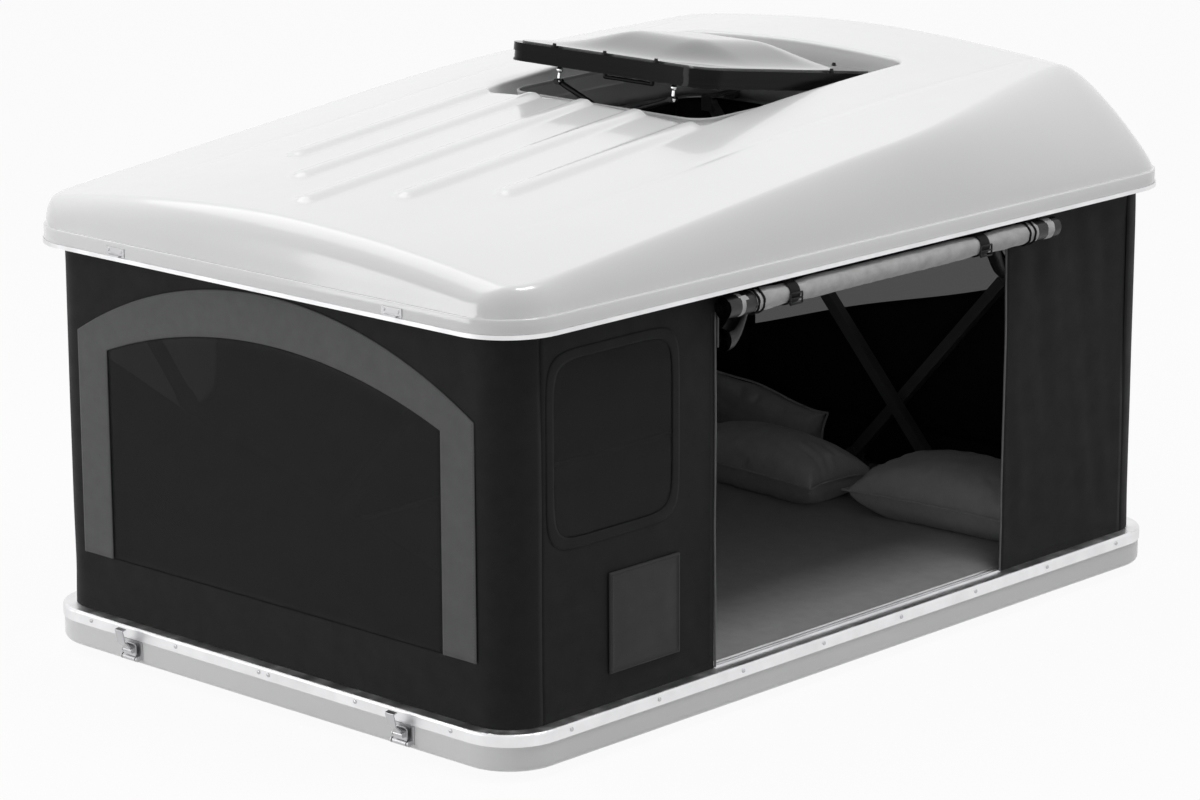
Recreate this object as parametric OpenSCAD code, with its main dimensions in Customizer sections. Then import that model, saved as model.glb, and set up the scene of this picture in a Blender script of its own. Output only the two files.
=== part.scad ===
// Hard-shell roof tent, shown open: the roof lifts straight up on crossing telescopic arms.
// X is the width, Y the length with the front at -Y, and the mount rails rest on z = 0.

/* [Base] */
// Outside width of the base tray
base_w = 1420; // [1380:10:1500]
// Outside length of the base tray
base_l = 2120; // [2080:10:2240]
// Corner radius of the tray in plan
corner_r = 116; // [104:2:136]
// Height of the tray's painted side
tray_h = 54; // [50:1:64]
// Height of the aluminium band above the painted side
band_h = 26; // [22:1:32]
// Thickness of the tray's laminate
tray_t = 4; // [3:0.5:6]
// Radius of the tray's bottom edge
tray_edge_r = 14; // [9:1:18]
// Thickness of the floor board
board_t = 12; // [8:1:16]
// Wall of the aluminium frame
frame_t = 3; // [2:0.5:4]
// How far the aluminium frame reaches in from the tray's outside
frame_in = 38; // [36:1:44]
// How far the frame's outer band stands proud of the tray
frame_proud = 2.5; // [1.5:0.5:4]
// Radius of the frame's upper outer edge
frame_edge_r = 6; // [5:0.5:8]
// Rivets along each long side
long_rivets = 8; // [5:1:12]
// Distance from the end of a straight side to its first rivet
rivet_margin = 50; // [30:5:70]
// Diameter of a rivet's head
rivet_d = 9; // [6:0.5:12]

/* [Mount rails] */
// Distance between the rails' centre lines
rail_pitch = 800; // [700:10:900]
// Length of a rail
rail_l = 1900; // [1840:10:2000]
// Width of a rail
rail_w = 40; // [34:1:50]
// Height of a rail
rail_h = 20; // [18:1:26]
// Wall of a rail
rail_t = 3; // [2.5:0.5:3.5]
// Width of the slot along a rail's underside
rail_slot = 12; // [10:0.5:16]
// Shank diameter of the rail bolts
bolt_d = 8; // [6:1:10]
// Distance between the bolts along a rail
bolt_pitch = 580; // [540:10:600]

/* [Bedding] */
// Gap between the mattress and the frame round it
mattress_gap = 6; // [3:1:12]
// Radius of the mattress's edges
mattress_edge = 30; // [20:2:40]
// Thickness of a lying pillow
pillow_h = 135; // [100:5:150]
// How far the middle of a pillow's side is drawn in, as a share of its half width
pillow_draw = 0.1; // [0.02:0.01:0.16]

/* [Lift] */
// Height of the open side, from the base frame to the roof's lip
open_h = 797; // [740:1:840]
// How far the closed roof's lip laps over the base frame
lip_lap = 8; // [5:1:10]
// Distance from the middle to an arm's foot pin
arm_foot_x = 143; // [120:1:160]
// Distance from the middle to an arm's roof pin
arm_head_x = 582; // [560:1:590]
// Distance from the tray's end to the outer pair of arms
arm_setback = 62; // [60:1:66]
// Outside of the square sleeve
arm_w = 26; // [24:1:28]
// Wall of the sleeve and of the inner tube
arm_t = 2; // [1.5:0.25:2.5]
// Running clearance of the inner tube in the sleeve, each side
tube_gap = 0.3; // [0.2:0.05:0.5]
// Diameter of the arm pins
arm_pin_d = 10; // [8:1:12]
// Height of the foot pins above the base frame
arm_foot_rise = 28; // [27:1:34]

/* [Fabric] */
// Thickness of the wall fabric as modelled
wall_t = 2.5; // [2:0.25:3]
// Distance from the tray's outside to the walls
wall_in = 27; // [25:1:29]
// Thickness of the window mesh as modelled
mesh_t = 1.2; // [0.8:0.1:1.6]
// Width of the end windows between their borders
window_w = 994; // [900:2:1010]
// Height of the end windows' sill above the base frame
window_sill = 128; // [100:2:160]
// Height of the end windows' crown above the base frame
window_crown = 674; // [620:2:690]
// Width of the border beside an end window
border_w = 93; // [70:1:100]
// Height of the border over an end window's crown
border_top = 102; // [80:1:110]
// Thickness of the border
border_t = 1.5; // [1:0.1:2.5]
// Front edge of the door, from the middle of the tent
door_front = -442; // [-480:2:-420]
// Rear edge of the door, from the middle of the tent
door_rear = 507; // [440:1:560]
// Height of the door above the base frame
door_h = 745; // [700:5:760]
// Radius of the rolled-up door
door_roll_r = 26; // [20:1:28]
// Radius of the rolled-up door net
net_roll_r = 20; // [14:1:24]
// Height of the pocket
pocket_h = 210; // [160:5:240]
// Width of the pocket
pocket_w = 207; // [160:1:220]
// Depth of the pocket
pocket_t = 5; // [4:0.5:10]

/* [Roof] */
// How far the roof's lip stands out from the tray all round
lip_out = 15; // [13:1:18]
// Height of the roof's vertical lip
lip_h = 36; // [34:1:44]
// Width of the ledge above the lip
lip_ledge = 8; // [6:0.5:10]
// Thickness of the roof shell
shell_t = 5; // [4:0.5:6]
// Height that the top would have above the lip's bottom at the front edge
roof_front_h = 140; // [130:1:150]
// Rise of the roof's top towards the rear, per unit of length
roof_slope = 0.111; // [0.106:0.001:0.116]
// How far the rising top bends down again by its rear end
rear_sink = 69; // [55:1:78]
// Fall of the top from its middle to the shoulders
crown_h = 49; // [35:1:55]
// Width that the steep side takes at the front
side_d = 28; // [24:1:34]
// Width that the side takes at the rear corners
rear_side_d = 185; // [150:1:200]
// Length of the front's rounding
front_d = 60; // [50:2:80]
// Length of the rear's rounding
rear_d = 220; // [190:5:260]
// Width of a raised rib on the roof
rib_w = 62; // [40:2:80]
// Height of a raised rib
rib_h = 9; // [6:1:12]
// Distance between the ribs
rib_pitch = 155; // [120:5:165]

/* [Skylight] */
// Width of the hatch
hatch_w = 596; // [570:2:604]
// Length of the hatch
hatch_l = 612; // [590:2:620]
// Height of the hatch's frame
hatch_h = 40; // [36:1:41]
// Angle that the hatch stands open
hatch_open = 9; // [5:0.1:9.6]
// Crown of the hatch's pane
pane_crown = 44; // [20:1:54]
// Margin between the hatch and the skylight's opening, each side
hatch_lap = 15; // [14:0.5:16]
// Height of the skylight frame's upstand
upstand_h = 28; // [26:1:30]
// Length of a stay
stay_l = 150; // [144:1:156]

/* [Latches] */
// Distance from the middle to a latch
latch_x = 410; // [360:5:450]
// Width of a latch
latch_w = 60; // [54:1:70]
// Angle that the hook stands out from the keeper
hook_out = 13; // [10:0.5:18]

/* [Hidden] */
$fn = 48;

// Overshoot of a cut past the face that it opens
cut = 1;
// Gap between pieces that lie side by side
gap = 0.3;
// Running clearance on a pin's diameter
pin_gap = 0.1;

// Levels
z_tray = rail_h;
z_floor = z_tray + tray_t;
z_board = z_floor + board_t;
z_band = z_tray + tray_h;
z_frame = z_band + band_h;
z_bed = z_frame - 0.5;
z_lip = z_frame + open_h;
travel = open_h + lip_lap;

// Outlines in plan
lip_w = base_w + 2 * lip_out;
lip_l = base_l + 2 * lip_out;
lip_r = corner_r + lip_out;
wall_w = base_w - 2 * wall_in;
wall_l = base_l - 2 * wall_in;
wall_r = corner_r - wall_in;
// The roof frame's flange lies this far above the lip's bottom, and the walls hang from its underside
flange_z = lip_h + 2;
flange_t = 3;
flange_in = lip_out + wall_in + wall_t + 3.5;
wall_top = z_lip + flange_z;

// Lift arms
arm_run = arm_head_x + arm_foot_x;
arm_len = sqrt(arm_run * arm_run + travel * travel);
arm_angle = atan2(travel, arm_run);
arm_foot_z = z_frame + arm_foot_rise;
arm_pitch = arm_w + 8;
arm_butt = 16;
arm_plug = 20;
arm_bore = arm_w - 2 * arm_t;
tube_w = arm_bore - 2 * tube_gap;
sleeve_l = arm_run - 65;
tube_l = arm_run - 35;
eye_r = 13;
lug_t = 5;
lug_gap = 0.5;
lug_r = 16;
foot_plate_t = 6;
bracket_t = 4;

// Roof: where its shoulders lie, where its top starts to bend down and where its sides start to widen
shoulder_x = 650;
sink_y = -100;
tail_y = 100;

// Skylight's recess: its size, its floor's middle and its tilt
recess_w = 646;
recess_l = 692;
recess_y = 254;
recess_z = 207;
recess_tilt = 1;
recess_wall = 5;
hatch_r = 60;
opening_w = hatch_w - 2 * hatch_lap;
opening_l = hatch_l - 2 * hatch_lap;
opening_r = hatch_r - 10;
hatch_top = upstand_h + 18;
hatch_t = 4;
hatch_flange = 68;
seal_d = 7;
hinge_y = hatch_l / 2 + 11.5;
hinge_z = upstand_h - 6;
hinge_x = 150;
hinge_pin_d = 8;
hinge_w = 23.4;
stay_x = 169;
stay_y = 38 - opening_l / 2;
stay_z = -30;
stay_d = 12;
// Angle of a stay under the hatch, so that its lower end meets its track
stay_drop = asin(((hinge_y - stay_y) * sin(hatch_open) + stay_z - 10.5) / stay_l);
ball_d = 15;
track_t = 20;

// Lying pillows: their sizes, and their middles inwards from the tray's rear and right sides
middle_pillow_w = 505;
middle_pillow_l = 225;
middle_pillow_x = 165;
middle_pillow_in = 355;
right_pillow_w = 510;
right_pillow_l = 290;
right_pillow_side = 335;
right_pillow_in = 285;
// Lengths of the rolls behind the door's rear edge, and of the net's hanging ends
door_roll_over = 125;
net_roll_over = 45;
net_roll_hang = 85;

// Latches: the pins' places, outwards from the tray's face and up
lever_pin = [10, z_tray + 16];
lever_pin_d = 6;
hook_pin = [16, z_tray + 34];
hook_pin_d = 5;
catch_z = 8;
catch_t = 3;
catch_out = 8;
// Underside of the hook's tip when it holds the keeper of the closed roof
hook_z = z_frame - lip_lap + catch_z + catch_t + 1.5;
hook_y = lip_out + catch_out + 4;
hook_t = 2.5;
lever_w = latch_w - 22;
hook_w = lever_w - 14;

// Side windows, straps and rolls
side_window_w = 350;
side_window_h = 369;
strap_y = [-255, 365];
strap_w = 30;
strap_t = 1.5;
// Share of a roll's radius that its straps draw in
roll_nip = 0.1;
door_roll_x = wall_w / 2 + door_roll_r + strap_t + 1;
door_roll_z = z_lip - door_roll_r - 10;
net_roll_x = wall_w / 2 - wall_t - 1.4 * net_roll_r - strap_t - 1;
net_roll_z = z_frame + door_h + 15;

// Helpers

// Rounded rectangle
module plan(w, l, r) {
    square([w - 2 * r, l], center = true);
    square([w, l - 2 * r], center = true);
    for (x = [-1, 1], y = [-1, 1]) translate([x * (w / 2 - r), y * (l / 2 - r)]) circle(r = r);
}

// Sweeps a profile round a rounded rectangle: its x is the distance outwards and its y is the height
module ring(w, l, r) {
    for (turn = [0, 180]) rotate([0, 0, turn]) {
        translate([w / 2, 0, 0]) rotate([90, 0, 0]) linear_extrude(l - 2 * r, center = true) children();
        translate([0, l / 2, 0]) rotate([90, 0, 90]) linear_extrude(w - 2 * r, center = true) children();
        translate([w / 2 - r, l / 2 - r, 0]) rotate_extrude(angle = 90) translate([r, 0]) children();
        translate([r - w / 2, l / 2 - r, 0]) rotate([0, 0, 90]) rotate_extrude(angle = 90)
            translate([r, 0]) children();
    }
}

// Rectangle from its corners
module span(x0, x1, y0, y1) {
    translate([x0, y0]) square([x1 - x0, y1 - y0]);
}

// Bent strip of sheet along a path
module strip(path, t) {
    for (i = [0 : len(path) - 2]) {
        d = path[i + 1] - path[i];
        translate(path[i]) rotate(atan2(d[1], d[0])) translate([0, -t / 2]) square([norm(d), t]);
    }
    for (p = path) translate(p) circle(d = t);
}

// Closed solid between an upper and a lower grid of points, both nu by nv cells
module loft(upper, lower, nu, nv) {
    n = (nu + 1) * (nv + 1);
    function at(i, j) = i * (nv + 1) + j;
    function quad(a, b, c, d) = [[a, b, c], [a, c, d]];
    top = [for (i = [0 : nu - 1], j = [0 : nv - 1])
        each quad(at(i, j), at(i, j + 1), at(i + 1, j + 1), at(i + 1, j))];
    bottom = [for (i = [0 : nu - 1], j = [0 : nv - 1])
        each quad(n + at(i, j), n + at(i + 1, j), n + at(i + 1, j + 1), n + at(i, j + 1))];
    ends = [for (i = [0 : nu - 1]) each concat(
        quad(at(i, 0), at(i + 1, 0), n + at(i + 1, 0), n + at(i, 0)),
        quad(at(i + 1, nv), at(i, nv), n + at(i, nv), n + at(i + 1, nv)))];
    sides = [for (j = [0 : nv - 1]) each concat(
        quad(at(0, j + 1), at(0, j), n + at(0, j), n + at(0, j + 1)),
        quad(at(nu, j), at(nu, j + 1), n + at(nu, j + 1), n + at(nu, j)))];
    polyhedron(points = concat(upper, lower), faces = concat(top, bottom, ends, sides));
}

// From 0 to 1 along a quarter of a superellipse
function swell(t, p) = t <= 0 ? 0 : t >= 1 ? 1 : pow(1 - pow(1 - t, p), 1 / p);
// From 0 to 1 with level ends
function ease(t) = t <= 0 ? 0 : t >= 1 ? 1 : t * t * (3 - 2 * t);
function mix(a, b, t) = a + (b - a) * t;
// Steps from -1 to 1 that crowd towards both ends
function crowd(k, n) = let (u = 2 * k / n - 1) sign(u) * (1 - pow(1 - abs(u), 2));

// Base

module base_tray() {
    color("gainsboro") difference() {
        union() {
            ring(base_w, base_l, corner_r) {
                span(-tray_t, 0, z_tray + tray_edge_r, z_frame - frame_edge_r);
                translate([-tray_edge_r, z_tray + tray_edge_r]) intersection() {
                    difference() {
                        circle(r = tray_edge_r);
                        circle(r = tray_edge_r - tray_t);
                    }
                    translate([0, -tray_edge_r]) square(tray_edge_r);
                }
            }
            translate([0, 0, z_tray]) linear_extrude(tray_t)
                plan(base_w - 2 * tray_edge_r, base_l - 2 * tray_edge_r, corner_r - tray_edge_r);
        }
        at_bolts() translate([0, 0, z_tray - cut]) cylinder(d = bolt_d + gap, h = tray_t + 2 * cut);
    }
}

module floor_board() {
    color("burlywood") difference() {
        translate([0, 0, z_floor]) linear_extrude(board_t)
            plan(base_w - 2 * tray_edge_r, base_l - 2 * tray_edge_r, corner_r - tray_edge_r);
        at_bolts() translate([0, 0, z_floor - cut]) cylinder(d = 2 * bolt_d + 2, h = board_t + 2 * cut);
    }
}

module base_frame() {
    color("silver") ring(base_w, base_l, corner_r) {
        span(0, frame_proud, z_band, z_frame - frame_edge_r);
        translate([frame_proud - frame_edge_r, z_frame - frame_edge_r]) intersection() {
            circle(r = frame_edge_r);
            square(frame_edge_r);
        }
        span(-frame_in, frame_proud - frame_edge_r, z_frame - frame_t, z_frame);
        span(-frame_in, frame_t - frame_in, z_board, z_frame);
    }
}

module rivet() {
    rotate([0, 90, 0]) cylinder(d1 = rivet_d, d2 = rivet_d / 2, h = 2);
}

module frame_rivets() {
    z = z_band + band_h / 2;
    long_step = (base_l - 2 * corner_r - 2 * rivet_margin) / (long_rivets - 1);
    short_step = (base_w - 2 * corner_r - 2 * rivet_margin) / 4;
    color("lightgray") for (turn = [0, 180]) rotate([0, 0, turn]) {
        for (i = [0 : long_rivets - 1])
            translate([base_w / 2 + frame_proud, (i - (long_rivets - 1) / 2) * long_step, z]) rivet();
        for (x = [-2 * short_step, -short_step, -1.6 * rivet_d, 1.6 * rivet_d, short_step, 2 * short_step])
            translate([x, base_l / 2 + frame_proud, z]) rotate([0, 0, 90]) rivet();
    }
}

// Places of the bolts, four on each rail
module at_bolts() {
    for (x = [-1, 1], i = [-1.5 : 1.5]) translate([x * rail_pitch / 2, i * bolt_pitch, 0]) children();
}

module mount_rails() {
    color("silver") difference() {
        for (x = [-1, 1]) translate([x * rail_pitch / 2, 0, 0]) rotate([90, 0, 0])
            linear_extrude(rail_l, center = true) difference() {
                span(-rail_w / 2, rail_w / 2, 0, rail_h);
                span(rail_t - rail_w / 2, rail_w / 2 - rail_t, rail_t, rail_h - rail_t);
                span(-rail_slot / 2, rail_slot / 2, -cut, rail_t + cut);
            }
        at_bolts() translate([0, 0, rail_h - rail_t - cut]) cylinder(d = bolt_d + gap, h = rail_t + 2 * cut);
    }
}

module rail_bolts() {
    nut_h = 0.7 * bolt_d;
    color("dimgray") at_bolts() {
        translate([0, 0, rail_h - rail_t - nut_h]) cylinder(d = bolt_d, h = nut_h + rail_t + tray_t + cut);
        translate([0, 0, rail_h - rail_t - nut_h]) cylinder(d = 1.8 * bolt_d, h = nut_h, $fn = 6);
        translate([0, 0, z_floor]) cylinder(d = 2 * bolt_d, h = 0.6 * bolt_d);
    }
}

module door_sill() {
    wide = 24;
    rib = 4;
    color("silver") translate([wall_w / 2 - wide, 0, z_frame]) rotate([90, 0, 0])
        translate([0, 0, gap - door_rear]) linear_extrude(door_rear - door_front - 2 * gap) {
            span(0, wide, 0, 1.5);
            for (x = [0, wide / 2, wide - 2]) span(x, x + 2, 0, rib);
        }
}

// Bedding

module mattress() {
    w = base_w - 2 * (frame_in + mattress_gap);
    l = base_l - 2 * (frame_in + mattress_gap);
    r = corner_r - frame_in - mattress_gap;
    nu = 16;
    nv = 20;
    sag = 14;
    // Half width at a distance along the mattress, with its round corners
    function half(y) = let (d = l / 2 - abs(y)) w / 2 - (d < r ? r - sqrt(r * r - (r - d) * (r - d)) : 0);
    grid = [for (i = [0 : nu], j = [0 : nv]) let (y = l / 2 * crowd(j, nv)) [half(y) * crowd(i, nu), y]];
    // The top swells from the seam at the edge to the flat middle
    function fill(p) = swell((half(p[1]) - abs(p[0])) / mattress_edge, 2)
        * swell((l / 2 - abs(p[1])) / mattress_edge, 2);
    color("darkgray") loft(
        [for (p = grid) [p[0], p[1], z_bed - sag * (1 - fill(p))]],
        [for (p = grid) [p[0], p[1], z_board]], nu, nv);
}

// Pillow standing on z = 0, with a crown, a flat seat, drawn-in sides and a seam round its edge
module pillow(w, l, h) {
    n = 14;
    seam = 5;
    grid = [for (i = [0 : n], j = [0 : n]) [2 * i / n - 1, 2 * j / n - 1]];
    function fill(p) = pow((1 - p[0] * p[0]) * (1 - p[1] * p[1]), 0.42);
    function draw(p) = [w / 2 * p[0] * (1 - pillow_draw * (1 - p[1] * p[1])),
        l / 2 * p[1] * (1 - pillow_draw * (1 - p[0] * p[0]))];
    middle = 0.4 * h;
    loft(
        [for (p = grid) let (q = draw(p)) [q[0], q[1], middle + seam / 2 + (h - middle) * fill(p)]],
        [for (p = grid) let (q = draw(p)) [q[0], q[1], (middle - seam / 2) * (1 - min(1, 1.5 * fill(p)))]],
        n, n);
}

module pillow_left() {
    w = 390;
    tall = 195;
    thick = 0.6 * pillow_h;
    color("dimgray") translate([-330, arm_y(1) - arm_w / 2 - 25, z_bed + gap + tall / 2])
        rotate([90, 0, 0]) pillow(w, tall, thick);
}

module pillow_middle() {
    color("dimgray") translate([-middle_pillow_x, base_l / 2 - middle_pillow_in, z_bed + gap])
        rotate([0, 0, -4]) pillow(middle_pillow_w, middle_pillow_l, pillow_h);
}

module pillow_right() {
    color("dimgray") translate([base_w / 2 - right_pillow_side, base_l / 2 - right_pillow_in, z_bed + gap])
        rotate([0, 0, 3]) pillow(right_pillow_w, right_pillow_l, pillow_h);
}

// Lift arms: 0 front left, 1 front right, 2 rear left, 3 rear right, named by the roof end

// The outer pair of arms crosses in front of the inner pair
function lane(i) = i == 0 || i == 3 ? 0 : 1;
function arm_y(k) = base_l / 2 - arm_setback - k * arm_pitch;

// Frame at an arm's foot pin, with the arm leaning towards -X
module at_foot(i) {
    rotate([0, 0, i > 1 ? 180 : 0]) mirror([lane(i), 0, 0])
        translate([arm_foot_x, -arm_y(lane(i)), arm_foot_z]) children();
}

// Frame at an arm's foot pin, with x along the open arm
module along_arm(i) {
    at_foot(i) rotate([0, 180 + arm_angle, 0]) children();
}

module pin(d, l) {
    rotate([90, 0, 0]) cylinder(d = d, h = l, center = true);
}

module arm_sleeve(i) {
    color("slategray") along_arm(i) difference() {
        translate([-arm_butt, -arm_w / 2, -arm_w / 2]) cube([sleeve_l + arm_butt, arm_w, arm_w]);
        translate([arm_plug, -arm_bore / 2, -arm_bore / 2]) cube([sleeve_l, arm_bore, arm_bore]);
        pin(arm_pin_d + pin_gap, arm_w + 2 * cut);
    }
}

module arm_tube(i) {
    hollow = tube_w - 2 * arm_t;
    color("lightslategray") along_arm(i) difference() {
        union() {
            translate([arm_len - tube_l, -tube_w / 2, -tube_w / 2]) cube([tube_l, tube_w, tube_w]);
            translate([arm_len, 0, 0]) rotate([90, 0, 0]) cylinder(r = eye_r, h = tube_w, center = true);
        }
        translate([arm_len - tube_l - cut, -hollow / 2, -hollow / 2])
            cube([tube_l - 2 * eye_r + cut, hollow, hollow]);
        translate([arm_len, 0, 0]) pin(arm_pin_d, arm_w + 2 * cut);
    }
}

module arm_feet() {
    lug_y = arm_w / 2 + lug_gap;
    plate_z = z_frame - arm_foot_z;
    plate_w = 48;
    flange_h = 36;
    color("dimgray") for (i = [0 : 3]) {
        reach = base_l / 2 - arm_y(lane(i)) - frame_in;
        at_foot(i) {
            translate([-plate_w / 2, -reach - 6, plate_z])
                cube([plate_w, reach + 6 + lug_y + lug_t, foot_plate_t]);
            translate([-plate_w / 2, -reach, plate_z - flange_h]) cube([plate_w, bracket_t, flange_h]);
            for (s = [-1, 1]) translate([0, s * (lug_y + lug_t / 2), 0]) rotate([90, 0, 0])
                linear_extrude(lug_t, center = true) {
                    circle(r = lug_r);
                    span(-lug_r, lug_r, plate_z + foot_plate_t / 2, 0);
                }
            pin(arm_pin_d, 2 * (lug_y + lug_t));
        }
    }
}

// Brackets on the roof frame's flange, each with a stud beside its arm's eye
module arm_brackets() {
    half = 16;
    seat = wall_top + flange_t - arm_foot_z - travel;
    stud_y = tube_w / 2 + gap;
    plate_y = arm_w / 2 + 1;
    bridge_z = eye_r + 4;
    color("dimgray") for (i = [0 : 3]) at_foot(i) translate([-arm_run, 0, travel]) {
        outer = base_l / 2 + lip_out - arm_y(lane(i)) - 24;
        if (lane(i) == 0) {
            translate([-half, -outer, seat]) cube([2 * half, outer - plate_y, bracket_t]);
            translate([-half, -plate_y - bracket_t, -half]) cube([2 * half, bracket_t, 2 * half]);
            translate([0, -(plate_y + stud_y) / 2, 0]) pin(1.6 * arm_pin_d, plate_y - stud_y + gap);
        } else {
            translate([-half, -outer, seat]) cube([2 * half, 22, bridge_z - seat + bracket_t]);
            translate([-half, -outer, bridge_z]) cube([2 * half, outer + plate_y + bracket_t, bracket_t]);
            translate([-half, plate_y, -half]) cube([2 * half, bracket_t, half + bridge_z]);
            translate([0, (plate_y + stud_y) / 2, 0]) pin(1.6 * arm_pin_d, plate_y - stud_y + gap);
        }
    }
}

// Fabric walls

module wall_ring() {
    ring(wall_w, wall_l, wall_r) span(-wall_t, 0, z_frame, wall_top);
}

// Arch of an end window: straight legs under a flat arc
module arch(w, crown, r) {
    intersection() {
        span(-w / 2, w / 2, z_frame + window_sill, crown);
        translate([0, crown - r]) circle(r = r, $fn = 180);
    }
}

module window_arch() {
    arch(window_w, z_frame + window_crown, 1.41 * window_w);
}

module border_arch() {
    arch(window_w + 2 * border_w, z_frame + window_crown + border_top, 0.98 * (window_w + 2 * border_w));
}

// Places an upright outline at a distance in from the end wall's outer face, on the front or the rear end
module on_end(rear, inwards, t) {
    rotate([0, 0, rear ? 180 : 0]) translate([0, inwards - wall_l / 2 + t, 0]) rotate([90, 0, 0])
        linear_extrude(t) children();
}

module end_wall(rear) {
    difference() {
        rotate([0, 0, rear ? 180 : 0]) intersection() {
            wall_ring();
            translate([-wall_w, -wall_l / 2 - cut, 0]) cube([2 * wall_w, wall_r + cut, 2 * wall_top]);
        }
        on_end(rear, -cut, wall_t + 2 * cut) window_arch();
    }
}

module wall_front() {
    color("#2b2c2e") end_wall(false);
}

module wall_rear() {
    color("#2b2c2e") end_wall(true);
}

// Flat outline on the right wall, in length and height, at a distance out from the wall's outer face
module on_right(outwards, t) {
    translate([wall_w / 2 + outwards, 0, 0]) rotate([90, 0, 90]) linear_extrude(t) children();
}

module wall_sheet() {
    half = wall_l / 2 - wall_r;
    span(-half, half, z_frame, wall_top);
}

module side_window() {
    translate([side_window_w / 2 + 30 + wall_r - wall_l / 2, z_frame + 360 + side_window_h / 2])
        plan(side_window_w, side_window_h, 45);
}

module wall_right() {
    color("#2b2c2e") on_right(-wall_t, wall_t) difference() {
        wall_sheet();
        side_window();
        span(door_front, door_rear, z_frame - cut, z_frame + door_h);
    }
}

module wall_left() {
    color("#2b2c2e") mirror([1, 0, 0]) on_right(-wall_t, wall_t) difference() {
        wall_sheet();
        side_window();
    }
}

module mesh_front() {
    color("#3a3b3d") on_end(false, (wall_t - mesh_t) / 2, mesh_t) window_arch();
}

module mesh_rear() {
    color("#3a3b3d") on_end(true, (wall_t - mesh_t) / 2, mesh_t) window_arch();
}

module mesh_sides() {
    color("#3a3b3d") for (side = [0, 1]) mirror([side, 0, 0])
        on_right(-(wall_t + mesh_t) / 2, mesh_t) side_window();
}

module border() {
    difference() {
        border_arch();
        translate([0, -cut]) window_arch();
        window_arch();
    }
}

module border_front() {
    color("gray") on_end(false, -border_t, border_t) border();
}

module border_rear() {
    color("gray") on_end(true, -border_t, border_t) border();
}

module side_pocket() {
    hem = 7;
    hem_t = 1.5;
    y = door_front - 107 - pocket_w / 2;
    z = z_frame + 61 + pocket_h / 2;
    color("#3c3d3f") {
        on_right(0, pocket_t) translate([y, z]) plan(pocket_w, pocket_h, 6);
        on_right(pocket_t, hem_t) translate([y, z]) difference() {
            plan(pocket_w, pocket_h, 6);
            plan(pocket_w - 2 * hem, pocket_h - 2 * hem, 3);
        }
    }
}

// Blind behind an end window, let down at a slant
module window_blinds() {
    high = 560;
    low = 288;
    half = window_w / 2 + 10;
    color("#1d1e20") for (rear = [false, true]) on_end(rear, wall_t, mesh_t)
        polygon([[-half, z_frame + window_sill - 20], [-half, z_frame + high],
            [half, z_frame + low], [half, z_frame + window_sill - 20]]);
}

// Rolled cloth along Y from y0 to y1, creased lengthwise and drawn in under its straps, with hanging ends
module cloth_roll(y0, y1, r, rings, hang = 0) {
    sides = 16;
    crease = 0.05;
    function nipped(y) = roll_nip * max([for (s = strap_y) exp(-pow((y - s) / (2.2 * strap_w), 4))]);
    function radius(k, a) = let (y = mix(y0, y1, k / rings), low = 1 - tied(y, y0, y1))
        r * (1 - crease - nipped(y) + crease * sin(3 * a + 50 * sin(97 * k)) * cos(61 * k)
            + (hang > 0 ? 0.4 * low : 0));
    points = [for (k = [0 : rings], s = [0 : sides - 1])
        let (y = mix(y0, y1, k / rings), a = 360 * s / sides, q = radius(k, a))
        [q * cos(a), y, q * sin(a) - hang * (1 - tied(y, y0, y1))]];
    function at(k, s) = k * sides + s % sides;
    skin = [for (k = [0 : rings - 1], s = [0 : sides - 1]) each [
        [at(k, s + 1), at(k + 1, s + 1), at(k + 1, s)], [at(k, s + 1), at(k + 1, s), at(k, s)]]];
    caps = [[for (s = [sides - 1 : -1 : 0]) at(0, s)], [for (s = [0 : sides - 1]) at(rings, s)]];
    polyhedron(points = points, faces = concat(skin, caps));
}

// From 0 at a roll's ends to 1 along its tied middle
function tied(y, y0, y1) = ease((y - y0 - 10) / 80) * ease((y1 - y - 10) / 80);

module door_roll() {
    color("lightgray") translate([door_roll_x, 0, door_roll_z])
        cloth_roll(door_front - 8, door_rear + door_roll_over, door_roll_r, 44);
}

module net_roll() {
    color("#26272a") translate([net_roll_x, 0, net_roll_z])
        cloth_roll(door_front + 60, door_rear + net_roll_over, net_roll_r, 40, net_roll_hang);
}

// Inside radius of a strap's loop round a roll
function loop_r(r) = r * (1 - roll_nip) + gap;

// Strap from the wall's face at x = 0 round a roll at distance x, with its tail up the wall
module strap(x, r, tail) {
    rotate([90, 0, 0]) linear_extrude(strap_w, center = true) {
        translate([x, 0]) difference() {
            circle(r = loop_r(r) + strap_t);
            circle(r = loop_r(r));
        }
        span(0, strap_t, 0, tail);
        span(0, x - loop_r(r) - strap_t / 2, 0, strap_t);
    }
}

module roll_straps() {
    inner = wall_w / 2 - wall_t;
    color("#1d1e20") for (y = strap_y) {
        translate([wall_w / 2, y, door_roll_z])
            strap(door_roll_x - wall_w / 2, door_roll_r, wall_top - door_roll_z);
        translate([inner, y, net_roll_z]) mirror([1, 0, 0])
            strap(inner - net_roll_x, net_roll_r, wall_top - net_roll_z);
    }
}

// Roof

// Half width of the lip's outline, drawn in by inset, at a distance along the roof
function lip_half(y, inset) = let (r = lip_r - inset, d = lip_l / 2 - inset - abs(y))
    lip_w / 2 - inset - (d < r ? r - sqrt(max(0, r * r - (r - d) * (r - d))) : 0);
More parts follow.
